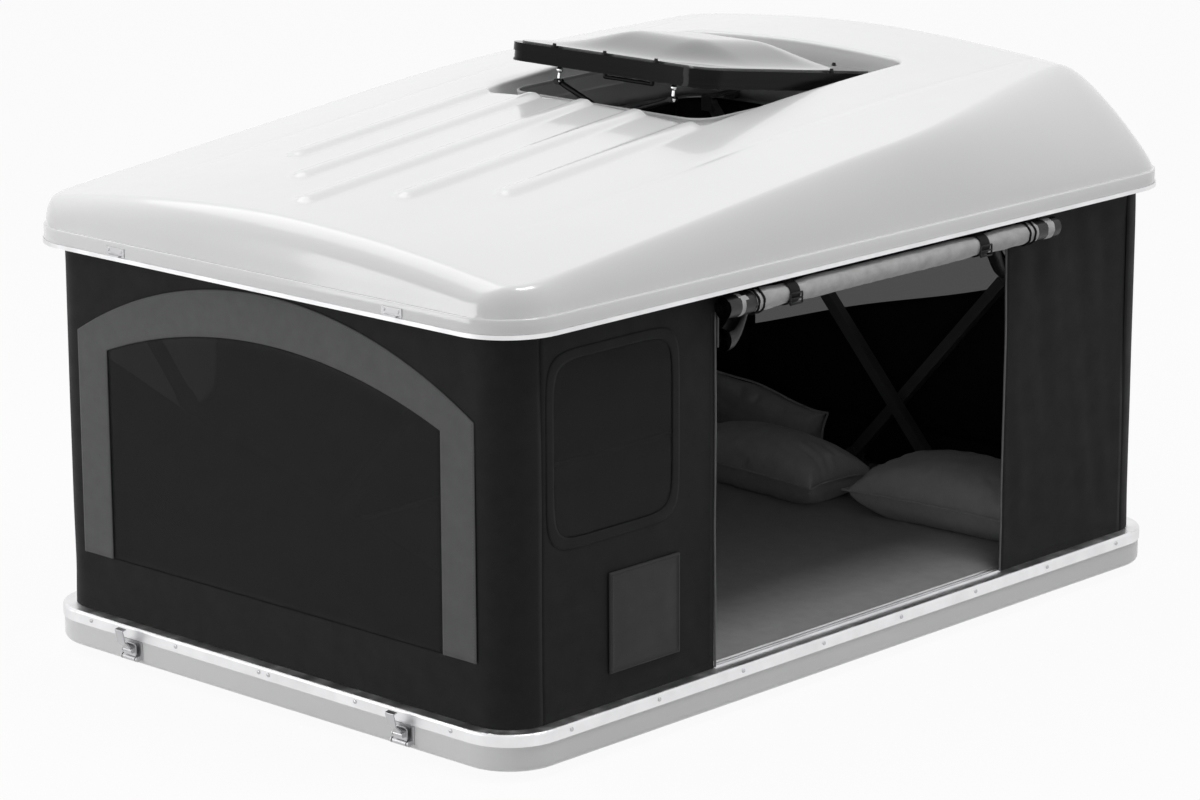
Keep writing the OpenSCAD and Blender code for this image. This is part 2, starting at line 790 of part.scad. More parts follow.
// Height of the roof above its lip's bottom: a crowned top, steep sides with an edge and a round rear
function roof_h(x, y, inset) =
    let (side = lip_half(y, inset) - abs(x) - lip_ledge,
        front = y + lip_l / 2 - inset - lip_ledge,
        rear = lip_l / 2 - inset - y - lip_ledge,
        bend = max(0, (y - sink_y) / (lip_l / 2 - sink_y)),
        top = roof_front_h + roof_slope * (y + lip_l / 2) - rear_sink * bend * bend
            - crown_h * pow(abs(x) / shoulder_x, 1.8),
        tail = ease((y - tail_y) / 900),
        wide = mix(mix(side_d, 1.43 * side_d, ease((y + 1000) / 1100)), rear_side_d, tail))
    lip_h - inset + (top - lip_h) * swell(front / front_d, 2.2) * swell(rear / rear_d, 1.75)
        * swell(side / wide, mix(2, 1.4, tail));

// Distance in from the lip's outline: its edge, the ledge and then steps that widen
function step_in(k, n, half) =
    k == 0 ? 0 : lip_ledge + (half - lip_ledge) * pow((k - 1) / (n / 2 - 1), 2.2);
function across_roof(k, n, half) = k <= n / 2 ? step_in(k, n, half) - half : half - step_in(n - k, n, half);

// Solid under the roof's surface
module dome(inset, base_z, nu, nv) {
    half_w = lip_w / 2 - inset;
    half_l = lip_l / 2 - inset;
    grid = [for (i = [0 : nu], j = [0 : nv])
        let (y = across_roof(j, nv, half_l)) [across_roof(i, nu, half_w) * lip_half(y, inset) / half_w, y]];
    translate([0, 0, z_lip]) loft(
        [for (p = grid) [p[0], p[1], roof_h(p[0], p[1], inset)]],
        [for (p = grid) [p[0], p[1], base_z]], nu, nv);
}

// Raised rib along the roof: a low base and a narrower crest, each between two flattened ends
module rib(x, front, rear) {
    for (part = [[1, 0.5], [0.6, 1]]) hull() for (y = [front, rear])
        translate([x, y, z_lip + roof_h(x, y, 0) - 1]) rotate([atan(roof_slope), 0, 0])
            scale([part[0] * rib_w / 2, part[0] * rib_w / 2, part[1] * rib_h]) sphere(r = 1, $fn = 16);
}

// Frame on the recess floor, with y along it and z square to it
module at_recess() {
    translate([0, recess_y, z_lip + recess_z]) rotate([recess_tilt, 0, 0]) children();
}

module recess_block(grow, z0, z1) {
    r = 40 + grow;
    hull() for (x = [-1, 1], y = [-1, 1])
        translate([x * (recess_w / 2 + grow - r), y * (recess_l / 2 + grow - r), z0])
            cylinder(r = r, h = z1 - z0, $fn = 32);
}

module roof_shell() {
    color("whitesmoke") difference() {
        union() {
            difference() {
                dome(0, 0, 36, 46);
                dome(shell_t, -cut, 28, 34);
                translate([0, 0, z_lip - cut]) linear_extrude(lip_h - shell_t)
                    plan(lip_w - 2 * shell_t, lip_l - 2 * shell_t, lip_r - shell_t, $fn = 96);
            }
            intersection() {
                dome(0, 0, 36, 46);
                at_recess() recess_block(recess_wall, -recess_wall, 100);
            }
            for (x = [-2 : 2])
                rib(x * rib_pitch, abs(x) * 133 - 912, recess_y - recess_l / 2 - 15);
        }
        at_recess() recess_block(0, 0, 101);
        at_recess() translate([0, 0, -100]) linear_extrude(101)
            plan(opening_w, opening_l, opening_r, $fn = 32);
    }
}

module roof_trim() {
    color("silver") translate([0, 0, z_lip]) ring(lip_w, lip_l, lip_r) {
        span(gap, 2.5, -3, 6);
        span(-shell_t - 1, 2.5, -3, -gap);
    }
}

// Stepped aluminium section inside the lip
module roof_frame() {
    leg = shell_t + 2 * gap;
    web = shell_t + lip_ledge + 6.5;
    color("silver") translate([0, 0, z_lip]) ring(lip_w, lip_l, lip_r) {
        span(-leg - flange_t, -leg, 6, lip_h - 8);
        span(-web - flange_t, -leg, lip_h - 8 - flange_t, lip_h - 8);
        span(-web - flange_t, -web, lip_h - 8 - flange_t, flange_z + flange_t);
        span(-flange_in, -web, flange_z, flange_z + flange_t);
    }
}

// Skylight

// Outline of the skylight's opening as a swept ring
module opening_ring() {
    at_recess() ring(opening_w, opening_l, opening_r) children();
}

module skylight_frame() {
    lug = 4;
    barrel = hinge_w + 2 * gap;
    flange = 26;
    color("gainsboro") {
        opening_ring() {
            span(0, 4, 0, upstand_h);
            span(0, flange, 0, 3);
        }
        at_recess() for (s = [-1, 1]) translate([s * hinge_x, hinge_y, 0]) {
            for (t = [-1, 1]) translate([t * (barrel + lug) / 2, 0, 0]) rotate([90, 0, 90])
                linear_extrude(lug, center = true) {
                    translate([0, hinge_z]) circle(r = 7);
                    span(-8, 7, 0, hinge_z);
                }
            translate([0, 0, hinge_z]) rotate([0, 90, 0])
                cylinder(d = hinge_pin_d, h = barrel + 2 * lug, center = true);
        }
    }
}

module skylight_seal() {
    color("#17181a") opening_ring() {
        translate([2, upstand_h + seal_d / 2]) circle(d = seal_d);
        span(-1, 5, upstand_h, upstand_h + 2);
    }
}

// Slotted channel on the opening's front side, in which the stays' feet run
module stay_tracks() {
    half = stay_x - stay_l * cos(stay_drop) + 40;
    slot = 4;
    color("#202124") at_recess() translate([0, track_t - opening_l / 2, 0]) rotate([90, 0, 0])
        linear_extrude(track_t)
        difference() {
            span(-half, half, 2, 24);
            span(8 - half, half - 8, 13 - slot, 13 + slot);
        }
}

// Frame of the open hatch, in the recess frame's own directions when the hatch is closed
module on_hatch() {
    at_recess() translate([0, hinge_y, hinge_z]) rotate([-hatch_open, 0, 0])
        translate([0, -hinge_y, -hinge_z]) children();
}

module hatch_ring() {
    on_hatch() ring(hatch_w, hatch_l, hatch_r) children();
}

module hatch_frame() {
    color("#202124") {
        hatch_ring() {
            span(-hatch_t, 0, hatch_top - 0.45 * hatch_h, hatch_top);
            span(-7, 1 - hatch_t, hatch_top - hatch_h, hatch_top);
            span(-7, -1, hatch_top - hatch_h, hatch_top - hatch_h + 5);
        }
        on_hatch() translate([0, 0, hatch_top - hatch_t]) linear_extrude(hatch_t) difference() {
            plan(hatch_w, hatch_l, hatch_r);
            plan(hatch_w - 2 * hatch_flange, hatch_l - 2 * hatch_flange, 12);
        }
    }
}

module hatch_pane() {
    w = hatch_w - 36;
    l = hatch_l - 36;
    r = hatch_r - 18;
    n = 14;
    t = 4;
    function half(y) = let (d = l / 2 - abs(y)) w / 2 - (d < r ? r - sqrt(r * r - (r - d) * (r - d)) : 0);
    grid = [for (i = [0 : n], j = [0 : n]) let (y = l / 2 * crowd(j, n)) [half(y) * crowd(i, n), y]];
    function rise(p) = pane_crown * ease((half(p[1]) - abs(p[0])) / (0.36 * w))
        * ease((l / 2 - abs(p[1])) / (0.36 * l));
    color("#303236") on_hatch() translate([0, 0, hatch_top]) loft(
        [for (p = grid) [p[0], p[1], t + rise(p)]],
        [for (p = grid) [p[0], p[1], rise(p)]], n, n);
}

module hatch_seal() {
    middle = 2 - hatch_lap;
    color("#17181a") hatch_ring()
        span(middle - seal_d, middle + seal_d / 2 + 2, upstand_h + seal_d + gap, hatch_top - hatch_t);
}

module hatch_caps() {
    cap_d = 14;
    side = hatch_w / 2 - 9;
    end = hatch_l / 2 - 9;
    places = concat(
        [for (x = [-150, 0, 150], s = [-1, 1]) [x, s * end]],
        [for (s = [-1, 1]) [s * side, 0.2 * hatch_l]]);
    color("#17181a") on_hatch() for (p = places) translate([p[0], p[1], hatch_top]) {
        cylinder(d = cap_d, h = 4, $fn = 6);
        cylinder(d1 = cap_d - 3, d2 = cap_d / 2, h = 9);
    }
}

module hatch_handle() {
    half = 70;
    d = 9;
    reach = 34;
    y = hatch_flange - hatch_l / 2;
    z = -8;
    color("#202124") on_hatch() translate([0, y, 0]) {
        translate([-half - d, 0, hatch_top - hatch_t]) cube([2 * (half + d), reach, hatch_t]);
        translate([0, reach - d, z]) {
            rotate([0, 90, 0]) cylinder(d = d, h = 2 * half, center = true);
            for (s = [-1, 1]) translate([s * half, 0, 0]) {
                cylinder(d = d, h = hatch_top - hatch_t / 2 - z);
                sphere(d = d);
            }
        }
    }
}

module hatch_hinges() {
    color("#202124") on_hatch() for (s = [-1, 1]) translate([s * hinge_x, hinge_y, hinge_z]) difference() {
        union() {
            rotate([0, 90, 0]) cylinder(r = 7, h = hinge_w, center = true);
            translate([-hinge_w / 2, hatch_l / 2 - hinge_y, 2]) cube([hinge_w, hinge_y - hatch_l / 2, 8]);
        }
        rotate([0, 90, 0]) cylinder(d = hinge_pin_d + pin_gap, h = hinge_w + 2 * cut, center = true);
    }
}

// Frame at a stay's ball, 0 left and 1 right, with x pointing inwards along the closed hatch
module at_ball(side) {
    on_hatch() mirror([side, 0, 0]) translate([-stay_x, stay_y, stay_z]) children();
}

// Socket under the hatch's flange with a double ball joint
module stay_balls() {
    reach = hatch_top - hatch_t - stay_z;
    color("gainsboro") for (side = [0, 1]) at_ball(side) {
        sphere(d = ball_d);
        translate([0, 0, 0.36 * reach]) sphere(d = ball_d);
        cylinder(d = 0.5 * ball_d, h = reach);
        translate([0, 0, 0.46 * reach]) cylinder(d = 1.2 * ball_d, h = 0.54 * reach);
    }
}

// Rod of a stay from the fork round its ball to the foot that runs in the track
module stay(side) {
    foot = 14;
    cheek_t = 3;
    reach = ball_d / 2 + gap;
    cheek_y = reach + cheek_t / 2;
    color("#202124") at_ball(side) rotate([0, stay_drop, 0]) {
        for (s = [-1, 1]) translate([0, s * cheek_y, 0]) {
            pin(stay_d, cheek_t);
            translate([0, -cheek_t / 2, -stay_d / 4]) cube([reach + 4, cheek_t, stay_d / 2]);
        }
        translate([reach, -cheek_y - cheek_t / 2, -stay_d / 4]) cube([4, 2 * cheek_y + cheek_t, stay_d / 2]);
        translate([reach + 1, 0, 0]) rotate([0, 90, 0]) cylinder(d = stay_d, h = stay_l - reach - 1);
        translate([stay_l, 0, 0]) pin(foot, 9);
    }
}

// Latches: 0 front left, 1 front right, 2 rear left, 3 rear right

// Frame on the tray's face at a latch, with the outside towards -Y
module at_latch(i) {
    side = (i % 2 == 1) == (i < 2) ? 1 : -1;
    rotate([0, 0, i > 1 ? 180 : 0]) translate([side * latch_x, -base_l / 2, 0]) children();
}

// Extrudes a side view, drawn outwards and upwards, across a latch
module across(w, x = 0) {
    translate([x, 0, 0]) rotate([90, 0, -90]) linear_extrude(w, center = true) children();
}

module latch_plates() {
    ear = latch_w / 2 - 6;
    ear_t = 3;
    color("silver") for (i = [0 : 3]) at_latch(i) {
        across(latch_w) span(0, 2, z_tray + tray_edge_r, z_band - 2);
        for (s = [-1, 1]) across(ear_t, s * ear) {
            translate(lever_pin) circle(r = 6);
            span(1, lever_pin[0], lever_pin[1] - 2, lever_pin[1] + 6);
        }
        across(2 * ear + ear_t) translate(lever_pin) circle(d = lever_pin_d);
    }
}

module latch_lever(i) {
    plate_t = 3;
    lug_t = 2;
    lug_x = hook_w / 2 + 1 + lug_t / 2;
    color("silver") at_latch(i) difference() {
        union() {
            across(lever_w) {
                translate(lever_pin) circle(r = 6);
                strip([lever_pin, [lever_pin[0], hook_pin[1] + 10],
                    [lever_pin[0] + 5, hook_pin[1] + 16]], plate_t);
            }
            for (s = [-1, 1]) across(lug_t, s * lug_x) {
                translate(hook_pin) circle(r = 5);
                span(lever_pin[0], hook_pin[0], hook_pin[1] - 5, hook_pin[1] + 5);
            }
            across(2 * lug_x + lug_t) translate(hook_pin) circle(d = hook_pin_d);
        }
        across(latch_w) translate(lever_pin) circle(d = lever_pin_d + pin_gap);
    }
}

module latch_hook(i) {
    path = [[0, 0], [4, 11], [hook_y + hook_t / 2 - hook_pin[0], 24],
        [hook_y + hook_t / 2 - hook_pin[0], hook_z + hook_t / 2 - hook_pin[1]],
        [lip_out + 4 - hook_pin[0], hook_z + hook_t / 2 - hook_pin[1]]];
    color("gainsboro") at_latch(i) across(hook_w) translate(hook_pin) rotate(-hook_out) difference() {
        union() {
            circle(r = 4.5);
            strip(path, hook_t);
        }
        circle(d = hook_pin_d + pin_gap);
    }
}

module latch_keepers() {
    keeper_w = latch_w - 3;
    keeper_h = 18;
    plate_t = 2;
    color("silver") for (i = [0 : 3]) at_latch(i) translate([0, -lip_out, z_lip + catch_z]) {
        translate([-keeper_w / 2, -plate_t, 0]) cube([keeper_w, plate_t, keeper_h]);
        translate([-hook_w / 2 - 6, -catch_out, 0]) cube([hook_w + 12, catch_out, catch_t]);
        for (s = [-1, 1]) translate([s * (keeper_w / 2 - 9), -plate_t, keeper_h - 6]) rotate([90, 0, 0])
            cylinder(d1 = 8, d2 = 5, h = 2);
    }
}

base_tray();
floor_board();
base_frame();
frame_rivets();
mount_rails();
rail_bolts();
door_sill();
mattress();
pillow_left();
pillow_middle();
pillow_right();
arm_feet();
latch_plates();
wall_front();
wall_rear();
wall_left();
wall_right();
mesh_front();
mesh_rear();
mesh_sides();
border_front();
border_rear();
side_pocket();
door_roll();
net_roll();
roll_straps();
window_blinds();
roof_shell();
roof_trim();
roof_frame();
latch_keepers();
arm_brackets();
skylight_frame();
skylight_seal();
stay_tracks();
hatch_frame();
hatch_pane();
hatch_seal();
hatch_caps();
hatch_handle();
hatch_hinges();
stay_balls();
stay(0);  // stay_left
stay(1);  // stay_right
arm_sleeve(0);  // arm_sleeve_fl
arm_sleeve(1);  // arm_sleeve_fr
arm_sleeve(2);  // arm_sleeve_rl
arm_sleeve(3);  // arm_sleeve_rr
arm_tube(0);  // arm_tube_fl
arm_tube(1);  // arm_tube_fr
arm_tube(2);  // arm_tube_rl
arm_tube(3);  // arm_tube_rr
latch_lever(0);  // latch_lever_fl
latch_lever(1);  // latch_lever_fr
latch_lever(2);  // latch_lever_rl
latch_lever(3);  // latch_lever_rr
latch_hook(0);  // latch_hook_fl
latch_hook(1);  // latch_hook_fr
latch_hook(2);  // latch_hook_rl
latch_hook(3);  // latch_hook_rr
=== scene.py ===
import math
import bmesh
import bpy
from mathutils import Matrix, Vector, noise


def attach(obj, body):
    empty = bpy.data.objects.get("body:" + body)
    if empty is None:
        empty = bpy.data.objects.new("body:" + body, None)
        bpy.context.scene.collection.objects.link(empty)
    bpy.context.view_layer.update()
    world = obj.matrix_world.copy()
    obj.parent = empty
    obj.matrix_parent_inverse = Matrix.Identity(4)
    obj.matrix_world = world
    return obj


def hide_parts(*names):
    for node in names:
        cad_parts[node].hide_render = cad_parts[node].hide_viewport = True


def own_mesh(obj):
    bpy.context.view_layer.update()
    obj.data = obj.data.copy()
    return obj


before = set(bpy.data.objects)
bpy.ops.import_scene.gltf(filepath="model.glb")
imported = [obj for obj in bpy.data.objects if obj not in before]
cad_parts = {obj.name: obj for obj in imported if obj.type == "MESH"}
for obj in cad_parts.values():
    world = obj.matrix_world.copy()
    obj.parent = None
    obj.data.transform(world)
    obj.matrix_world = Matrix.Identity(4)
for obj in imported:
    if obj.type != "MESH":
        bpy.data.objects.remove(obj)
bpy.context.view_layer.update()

print("frame loaded,", len(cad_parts), "CAD nodes")


# small helpers

def ease(t):
    t = min(1.0, max(0.0, t))
    return t * t * (3 - 2 * t)


def mix(a, b, t):
    return a + (b - a) * t


# quick rise that flattens out, rounder with a larger p
def swell(t, p):
    t = min(1.0, max(0.0, t))
    return (1 - (1 - t) ** p) ** (1 / p)


def wobble(x, y, z):
    return noise.noise(Vector((x, y, z)))


def spread(a, b, n):
    return [mix(a, b, k / n) for k in range(n + 1)]


# spots along several stretches, each with its own number of cells
def stretches(places, counts):
    spots = [places[0]]
    for a, b, n in zip(places, places[1:], counts):
        spots += spread(a, b, n)[1:]
    return spots


# places from -1 to 1 that crowd towards both ends
def crowd(k, n):
    return math.sin(math.pi / 2 * (2 * k / n - 1))


# how far a rounded corner draws a side in, at distance d from the end
def cornerCut(r, d):
    return r - math.sqrt(max(0.0, r * r - (r - d) ** 2)) if d < r else 0.0


def addObject(name, data):
    added = bpy.data.objects.new(name, data)
    bpy.context.scene.collection.objects.link(added)
    return added


def makePiece(name, points, faces, finishes, body, uvs=None, finishOf=None):
    mesh = bpy.data.meshes.new(name)
    mesh.from_pydata([tuple(p) for p in points], [], faces)
    mesh.validate()
    for finish in finishes:
        mesh.materials.append(finish)
    if uvs:
        layer = mesh.uv_layers.new(name="cloth")
        for loop in mesh.loops:
            layer.data[loop.index].uv = uvs[loop.vertex_index]
    for i, poly in enumerate(mesh.polygons):
        poly.use_smooth = True
        if finishOf:
            poly.material_index = finishOf[i]
    piece = addObject(name, mesh)
    if body:
        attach(piece, body)
    return piece


# turns all faces outwards; edges that bend by more than sharpAt degrees are shaded sharp
def faceOut(piece, sharpAt=None, weld=1e-7):
    shape = bmesh.new()
    shape.from_mesh(piece.data)
    bmesh.ops.remove_doubles(shape, verts=shape.verts, dist=weld)
    bmesh.ops.recalc_face_normals(shape, faces=shape.faces)
    shape.normal_update()
    for edge in shape.edges if sharpAt else ():
        if len(edge.link_faces) == 2 and edge.calc_face_angle(0.0) > math.radians(sharpAt):
            edge.smooth = False
    shape.to_mesh(piece.data)
    shape.free()


# faces of a grid of points; closed joins the last column to the first, looped the last row to the first
def gridFaces(rows, columns, closed=False, looped=False):
    faces = []
    for i in range(rows if looped else rows - 1):
        m = (i + 1) % rows
        for j in range(columns if closed else columns - 1):
            k = (j + 1) % columns
            faces.append((i * columns + j, m * columns + j, m * columns + k, i * columns + k))
    return faces


# faces of a closed pad: an upper grid of points, a lower one of the same size, and the rim between them
def padFaces(rows, columns):
    n, right, last = rows * columns, columns - 1, (rows - 1) * columns
    rim = (list(range(columns)) + [i * columns + right for i in range(1, rows)]
           + [last + j for j in range(right - 1, -1, -1)] + [i * columns for i in range(rows - 2, 0, -1)])
    grid = gridFaces(rows, columns)
    faces = [face[::-1] for face in grid] + [tuple(i + n for i in face) for face in grid]
    return faces + [(a, b, b + n, a + n) for a, b in zip(rim, rim[1:] + rim[:1])], rim


# a surface, its outward normals and a thickness make a closed cloth
def thicken(points, faces, normals, thickness, uvs):
    n = len(points)
    below = [Vector(p) - thickness * Vector(q) for p, q in zip(points, normals)]
    edges = {edge for face in faces for edge in zip(face, face[1:] + face[:1])}
    rims = [(b, a, a + n, b + n) for a, b in sorted(edges) if (b, a) not in edges]
    back = [tuple(i + n for i in reversed(face)) for face in faces]
    return points + below, faces + back + rims, uvs + uvs


def dropLoose(points, faces, *others):
    used = sorted({i for face in faces for i in face})
    place = {old: new for new, old in enumerate(used)}
    kept = [[values[i] for i in used] for values in (points, *others)]
    return [tuple(place[i] for i in face) for face in faces], *kept


def flatArea(faces, uvs):
    area = 0.0
    for face in faces:
        a, b, c, d = [Vector((*uvs[i], 0)) for i in face]
        area += (c - a).cross(d - b).length / 2
    return area


def tube(path, radius, sides=8, closed=False):
    points, n = [], len(path)
    path = [Vector(p) for p in path]
    offAxis = Vector((0.13, 0.27, 0.95))  # along no path of this scene
    for i, p in enumerate(path):
        before = path[i - 1] if i or closed else p
        after = path[(i + 1) % n] if i < n - 1 or closed else p
        along = (after - before).normalized()
        side = along.cross(offAxis).normalized()
        up = side.cross(along)
        for k in range(sides):
            a = 2 * math.pi * k / sides
            points.append(p + radius * (math.cos(a) * side + math.sin(a) * up))
    faces = gridFaces(n, sides, closed=True, looped=closed)
    if not closed:
        faces += [tuple(range(sides)), tuple(reversed(range((n - 1) * sides, n * sides)))]
    return points, faces


def joined(parts):
    points, faces = [], []
    for partPoints, partFaces in parts:
        start = len(points)
        points += list(partPoints)
        faces += [tuple(i + start for i in face) for face in partFaces]
    return points, faces


# finishes

grainSpan = (0.3, 0.7)  # where most values of a noise texture lie
waveLength = 0.314  # a wave texture's own pitch, in metres


# a socket as a value is linked, any other value is set
def setInputs(tree, node, values):
    for key, value in values.items():
        if isinstance(value, bpy.types.NodeSocket):
            tree.links.new(value, node.inputs[key])
        else:
            node.inputs[key].default_value = value


def addNode(tree, kind, values=None, **settings):
    node = tree.nodes.new(kind)
    for key, value in settings.items():
        setattr(node, key, value)
    setInputs(tree, node, values or {})
    return node


def emptyTree(owner):
    owner.use_nodes = True
    owner.node_tree.nodes.clear()
    return owner.node_tree


def startFinish(name):
    finish = bpy.data.materials.new(name)
    tree = emptyTree(finish)
    shader = addNode(tree, "ShaderNodeBsdfPrincipled")
    addNode(tree, "ShaderNodeOutputMaterial", {0: shader.outputs[0]})
    return finish, tree, shader


def addCoords(tree, source, scale=(1, 1, 1)):
    coords = addNode(tree, "ShaderNodeTexCoord")
    mapping = addNode(tree, "ShaderNodeMapping", {"Vector": coords.outputs[source], "Scale": scale})
    return mapping.outputs["Vector"]


def addGrain(tree, vector, scale, detail, rough=0.5):
    values = {"Vector": vector, "Scale": scale, "Detail": detail, "Roughness": rough}
    return addNode(tree, "ShaderNodeTexNoise", values).outputs["Fac"]


def addTone(tree, shader, vector, colour, scale, amount, detail=3.0):
    grain = addGrain(tree, vector, scale, detail, rough=0.55)
    ramp = addNode(tree, "ShaderNodeValToRGB", {"Fac": grain})
    for stop, position, share in zip(ramp.color_ramp.elements, grainSpan, (1 - amount, 1 + amount)):
        stop.position = position
        stop.color = (*[min(1.0, c * share) for c in colour], 1)
    setInputs(tree, shader, {"Base Color": ramp.outputs["Color"]})
    return grain


def addRoughness(tree, shader, vector, low, high, scale):
    patches = addGrain(tree, vector, scale, detail=4.0)
    span = addNode(tree, "ShaderNodeMapRange", {"Value": patches, "From Min": grainSpan[0], "From Max": grainSpan[1],
                                                "To Min": low, "To Max": high})
    setInputs(tree, shader, {"Roughness": span.outputs["Result"]})


def addBump(tree, shader, height, strength, distance):
    bump = addNode(tree, "ShaderNodeBump", {"Height": height, "Strength": strength, "Distance": distance})
    setInputs(tree, shader, {"Normal": bump.outputs["Normal"]})


# lacquer and moulded plastic: slight orange peel, faint mottling, patches of wear in the gloss
def plasticFinish(name, colour, rough, coat=0.0, peel=0.02, peelScale=180.0, tone=0.02, gloss=0.5):
    finish, tree, shader = startFinish(name)
    vector = addCoords(tree, "Object")
    addTone(tree, shader, vector, colour, scale=2.6, amount=tone)
    addRoughness(tree, shader, vector, low=rough * 0.85, high=rough * 1.2, scale=9.0)
    addBump(tree, shader, addGrain(tree, vector, peelScale, detail=2.0), strength=peel, distance=0.001)
    setInputs(tree, shader, {"Specular IOR Level": gloss, "Coat Weight": coat, "Coat Roughness": 0.06})
    return finish


# drawn or brushed metal: long fine scratches along the piece and cloudy roughness
def metalFinish(name, colour, rough, scratch=(4, 4, 420), strength=0.06, tone=0.06):
    finish, tree, shader = startFinish(name)
    vector = addCoords(tree, "Object")
    addTone(tree, shader, vector, colour, scale=14.0, amount=tone)
    addRoughness(tree, shader, vector, low=rough * 0.75, high=rough * 1.3, scale=22.0)
    lines = addGrain(tree, addCoords(tree, "Object", scratch), scale=1.0, detail=3.0)
    addBump(tree, shader, lines, strength, distance=0.0006)
    setInputs(tree, shader, {"Metallic": 1.0})
    return finish


# woven cloth on the piece's own cloth map, in metres: crossing threads, slubs and soft shade
def clothFinish(name, colour, pitch, rough=0.85, sheen=0.15, tone=0.12, weave=0.25, coords="UV", alpha=1.0,
                gloss=0.12):
    finish, tree, shader = startFinish(name)
    vector = addCoords(tree, coords)
    slub = addTone(tree, shader, vector, colour, scale=34.0, amount=tone, detail=5.0)
    addRoughness(tree, shader, vector, low=rough * 0.9, high=min(1.0, rough * 1.08), scale=18.0)
    wave = {"Vector": vector, "Scale": waveLength / pitch, "Distortion": 0.6, "Detail": 1.0}
    warp, weft = [addNode(tree, "ShaderNodeTexWave", wave, wave_type="BANDS", bands_direction=direction)
                  for direction in ("X", "Y")]
    cross = addNode(tree, "ShaderNodeMath", {0: warp.outputs["Fac"], 1: weft.outputs["Fac"]}, operation="MULTIPLY")
    height = addNode(tree, "ShaderNodeMath", {0: cross.outputs[0], 1: slub}, operation="ADD")
    addBump(tree, shader, height.outputs[0], strength=weave, distance=0.0005)
    setInputs(tree, shader, {"Sheen Weight": sheen, "Sheen Roughness": 0.4, "Alpha": alpha,
                             "Specular IOR Level": gloss})
    return finish


# plywood: streaks along the board
def plyFinish(name, colour):
    finish, tree, shader = startFinish(name)
    vector = addCoords(tree, "Object", (6, 0.7, 90))
    addTone(tree, shader, vector, colour, scale=3.0, amount=0.22, detail=6.0)
    addRoughness(tree, shader, vector, low=0.5, high=0.7, scale=3.0)
    return finish


# smoked acrylic, partly see-through
def paneFinish(name, colour):
    finish, tree, shader = startFinish(name)
    vector = addCoords(tree, "Object")
    addTone(tree, shader, vector, colour, scale=3.0, amount=0.06)
    addRoughness(tree, shader, vector, low=0.03, high=0.08, scale=14.0)
    setInputs(tree, shader, {"IOR": 1.49, "Transmission Weight": 0.45, "Coat Weight": 0.5})
    return finish


roofGloss = plasticFinish("roofGloss", (0.82, 0.82, 0.825), 0.215, coat=0.55, peel=0.012, tone=0.012)
trayGloss = plasticFinish("trayGloss", (0.80, 0.80, 0.805), 0.34, coat=0.25, peel=0.03, peelScale=260.0)
rimWhite = plasticFinish("rimWhite", (0.62, 0.62, 0.625), 0.36, coat=0.1, tone=0.03)
hatchGloss = plasticFinish("hatchGloss", (0.004, 0.004, 0.0043), 0.14, coat=0.08, peel=0.01, tone=0.2, gloss=0.07)
blackPlastic = plasticFinish("blackPlastic", (0.010, 0.010, 0.0105), 0.42, peel=0.08, peelScale=900.0, tone=0.2,
                             gloss=0.2)
sealGrey = plasticFinish("sealGrey", (0.50, 0.50, 0.505), 0.55, peel=0.08, peelScale=700.0, tone=0.08, gloss=0.3)
sealRubber = plasticFinish("sealRubber", (0.006, 0.006, 0.0065), 0.62, peel=0.12, peelScale=700.0, tone=0.25,
                           gloss=0.12)
armPaint = plasticFinish("armPaint", (0.11, 0.11, 0.113), 0.40, peel=0.05, peelScale=600.0, tone=0.15, gloss=0.3)
bandAlu = metalFinish("bandAlu", (0.80, 0.80, 0.81), 0.38)
railAlu = metalFinish("railAlu", (0.62, 0.62, 0.63), 0.42, scratch=(420, 4, 420))
latchSteel = metalFinish("latchSteel", (0.52, 0.52, 0.53), 0.37, scratch=(300, 300, 8))
ballChrome = metalFinish("ballChrome", (0.83, 0.83, 0.84), 0.07, scratch=(90, 90, 90), strength=0.01, tone=0.02)
floorPly = plyFinish("floorPly", (0.48, 0.35, 0.21))
paneSmoke = paneFinish("paneSmoke", (0.16, 0.165, 0.17))
wallCloth = clothFinish("wallCloth", (0.0175, 0.0176, 0.0182), 0.0012, rough=0.62, sheen=0.02, tone=0.10, gloss=0.08)
windowNet = clothFinish("windowNet", (0.0230, 0.0230, 0.0236), 0.0016, rough=0.45, sheen=0.02, tone=0.08,
                        weave=0.15, alpha=0.73, gloss=0.1)
borderCloth = clothFinish("borderCloth", (0.100, 0.101, 0.103), 0.0010, rough=0.6, sheen=0.06, tone=0.07, gloss=0.25)
pocketCloth = clothFinish("pocketCloth", (0.030, 0.030, 0.031), 0.0012, rough=0.5, sheen=0.04, tone=0.08, gloss=0.2)
liningCloth = clothFinish("liningCloth", (0.50, 0.50, 0.50), 0.0011, rough=0.7, sheen=0.1, tone=0.14)
cuffCloth = clothFinish("cuffCloth", (0.012, 0.012, 0.0125), 0.0011, rough=0.24, sheen=0.02, tone=0.25, gloss=0.35)
blindCloth = clothFinish("blindCloth", (0.013, 0.013, 0.0134), 0.0011, rough=0.7, sheen=0.02, tone=0.1, gloss=0.08)
webTape = clothFinish("webTape", (0.009, 0.009, 0.0095), 0.0022, rough=0.6, sheen=0.05, tone=0.15, weave=0.6)
bedCloth = clothFinish("bedCloth", (0.33, 0.33, 0.332), 0.0014, rough=0.9, sheen=0.25, tone=0.06, coords="Object")
pillowCloth = clothFinish("pillowCloth", (0.52, 0.52, 0.526), 0.0010, rough=0.8, sheen=0.3, tone=0.06,
                          coords="Object")
threadGrey = clothFinish("threadGrey", (0.16, 0.16, 0.163), 0.0008, rough=0.8, coords="Object")
threadDark = clothFinish("threadDark", (0.030, 0.030, 0.031), 0.0008, rough=0.8, coords="Object")
print("finishes made")

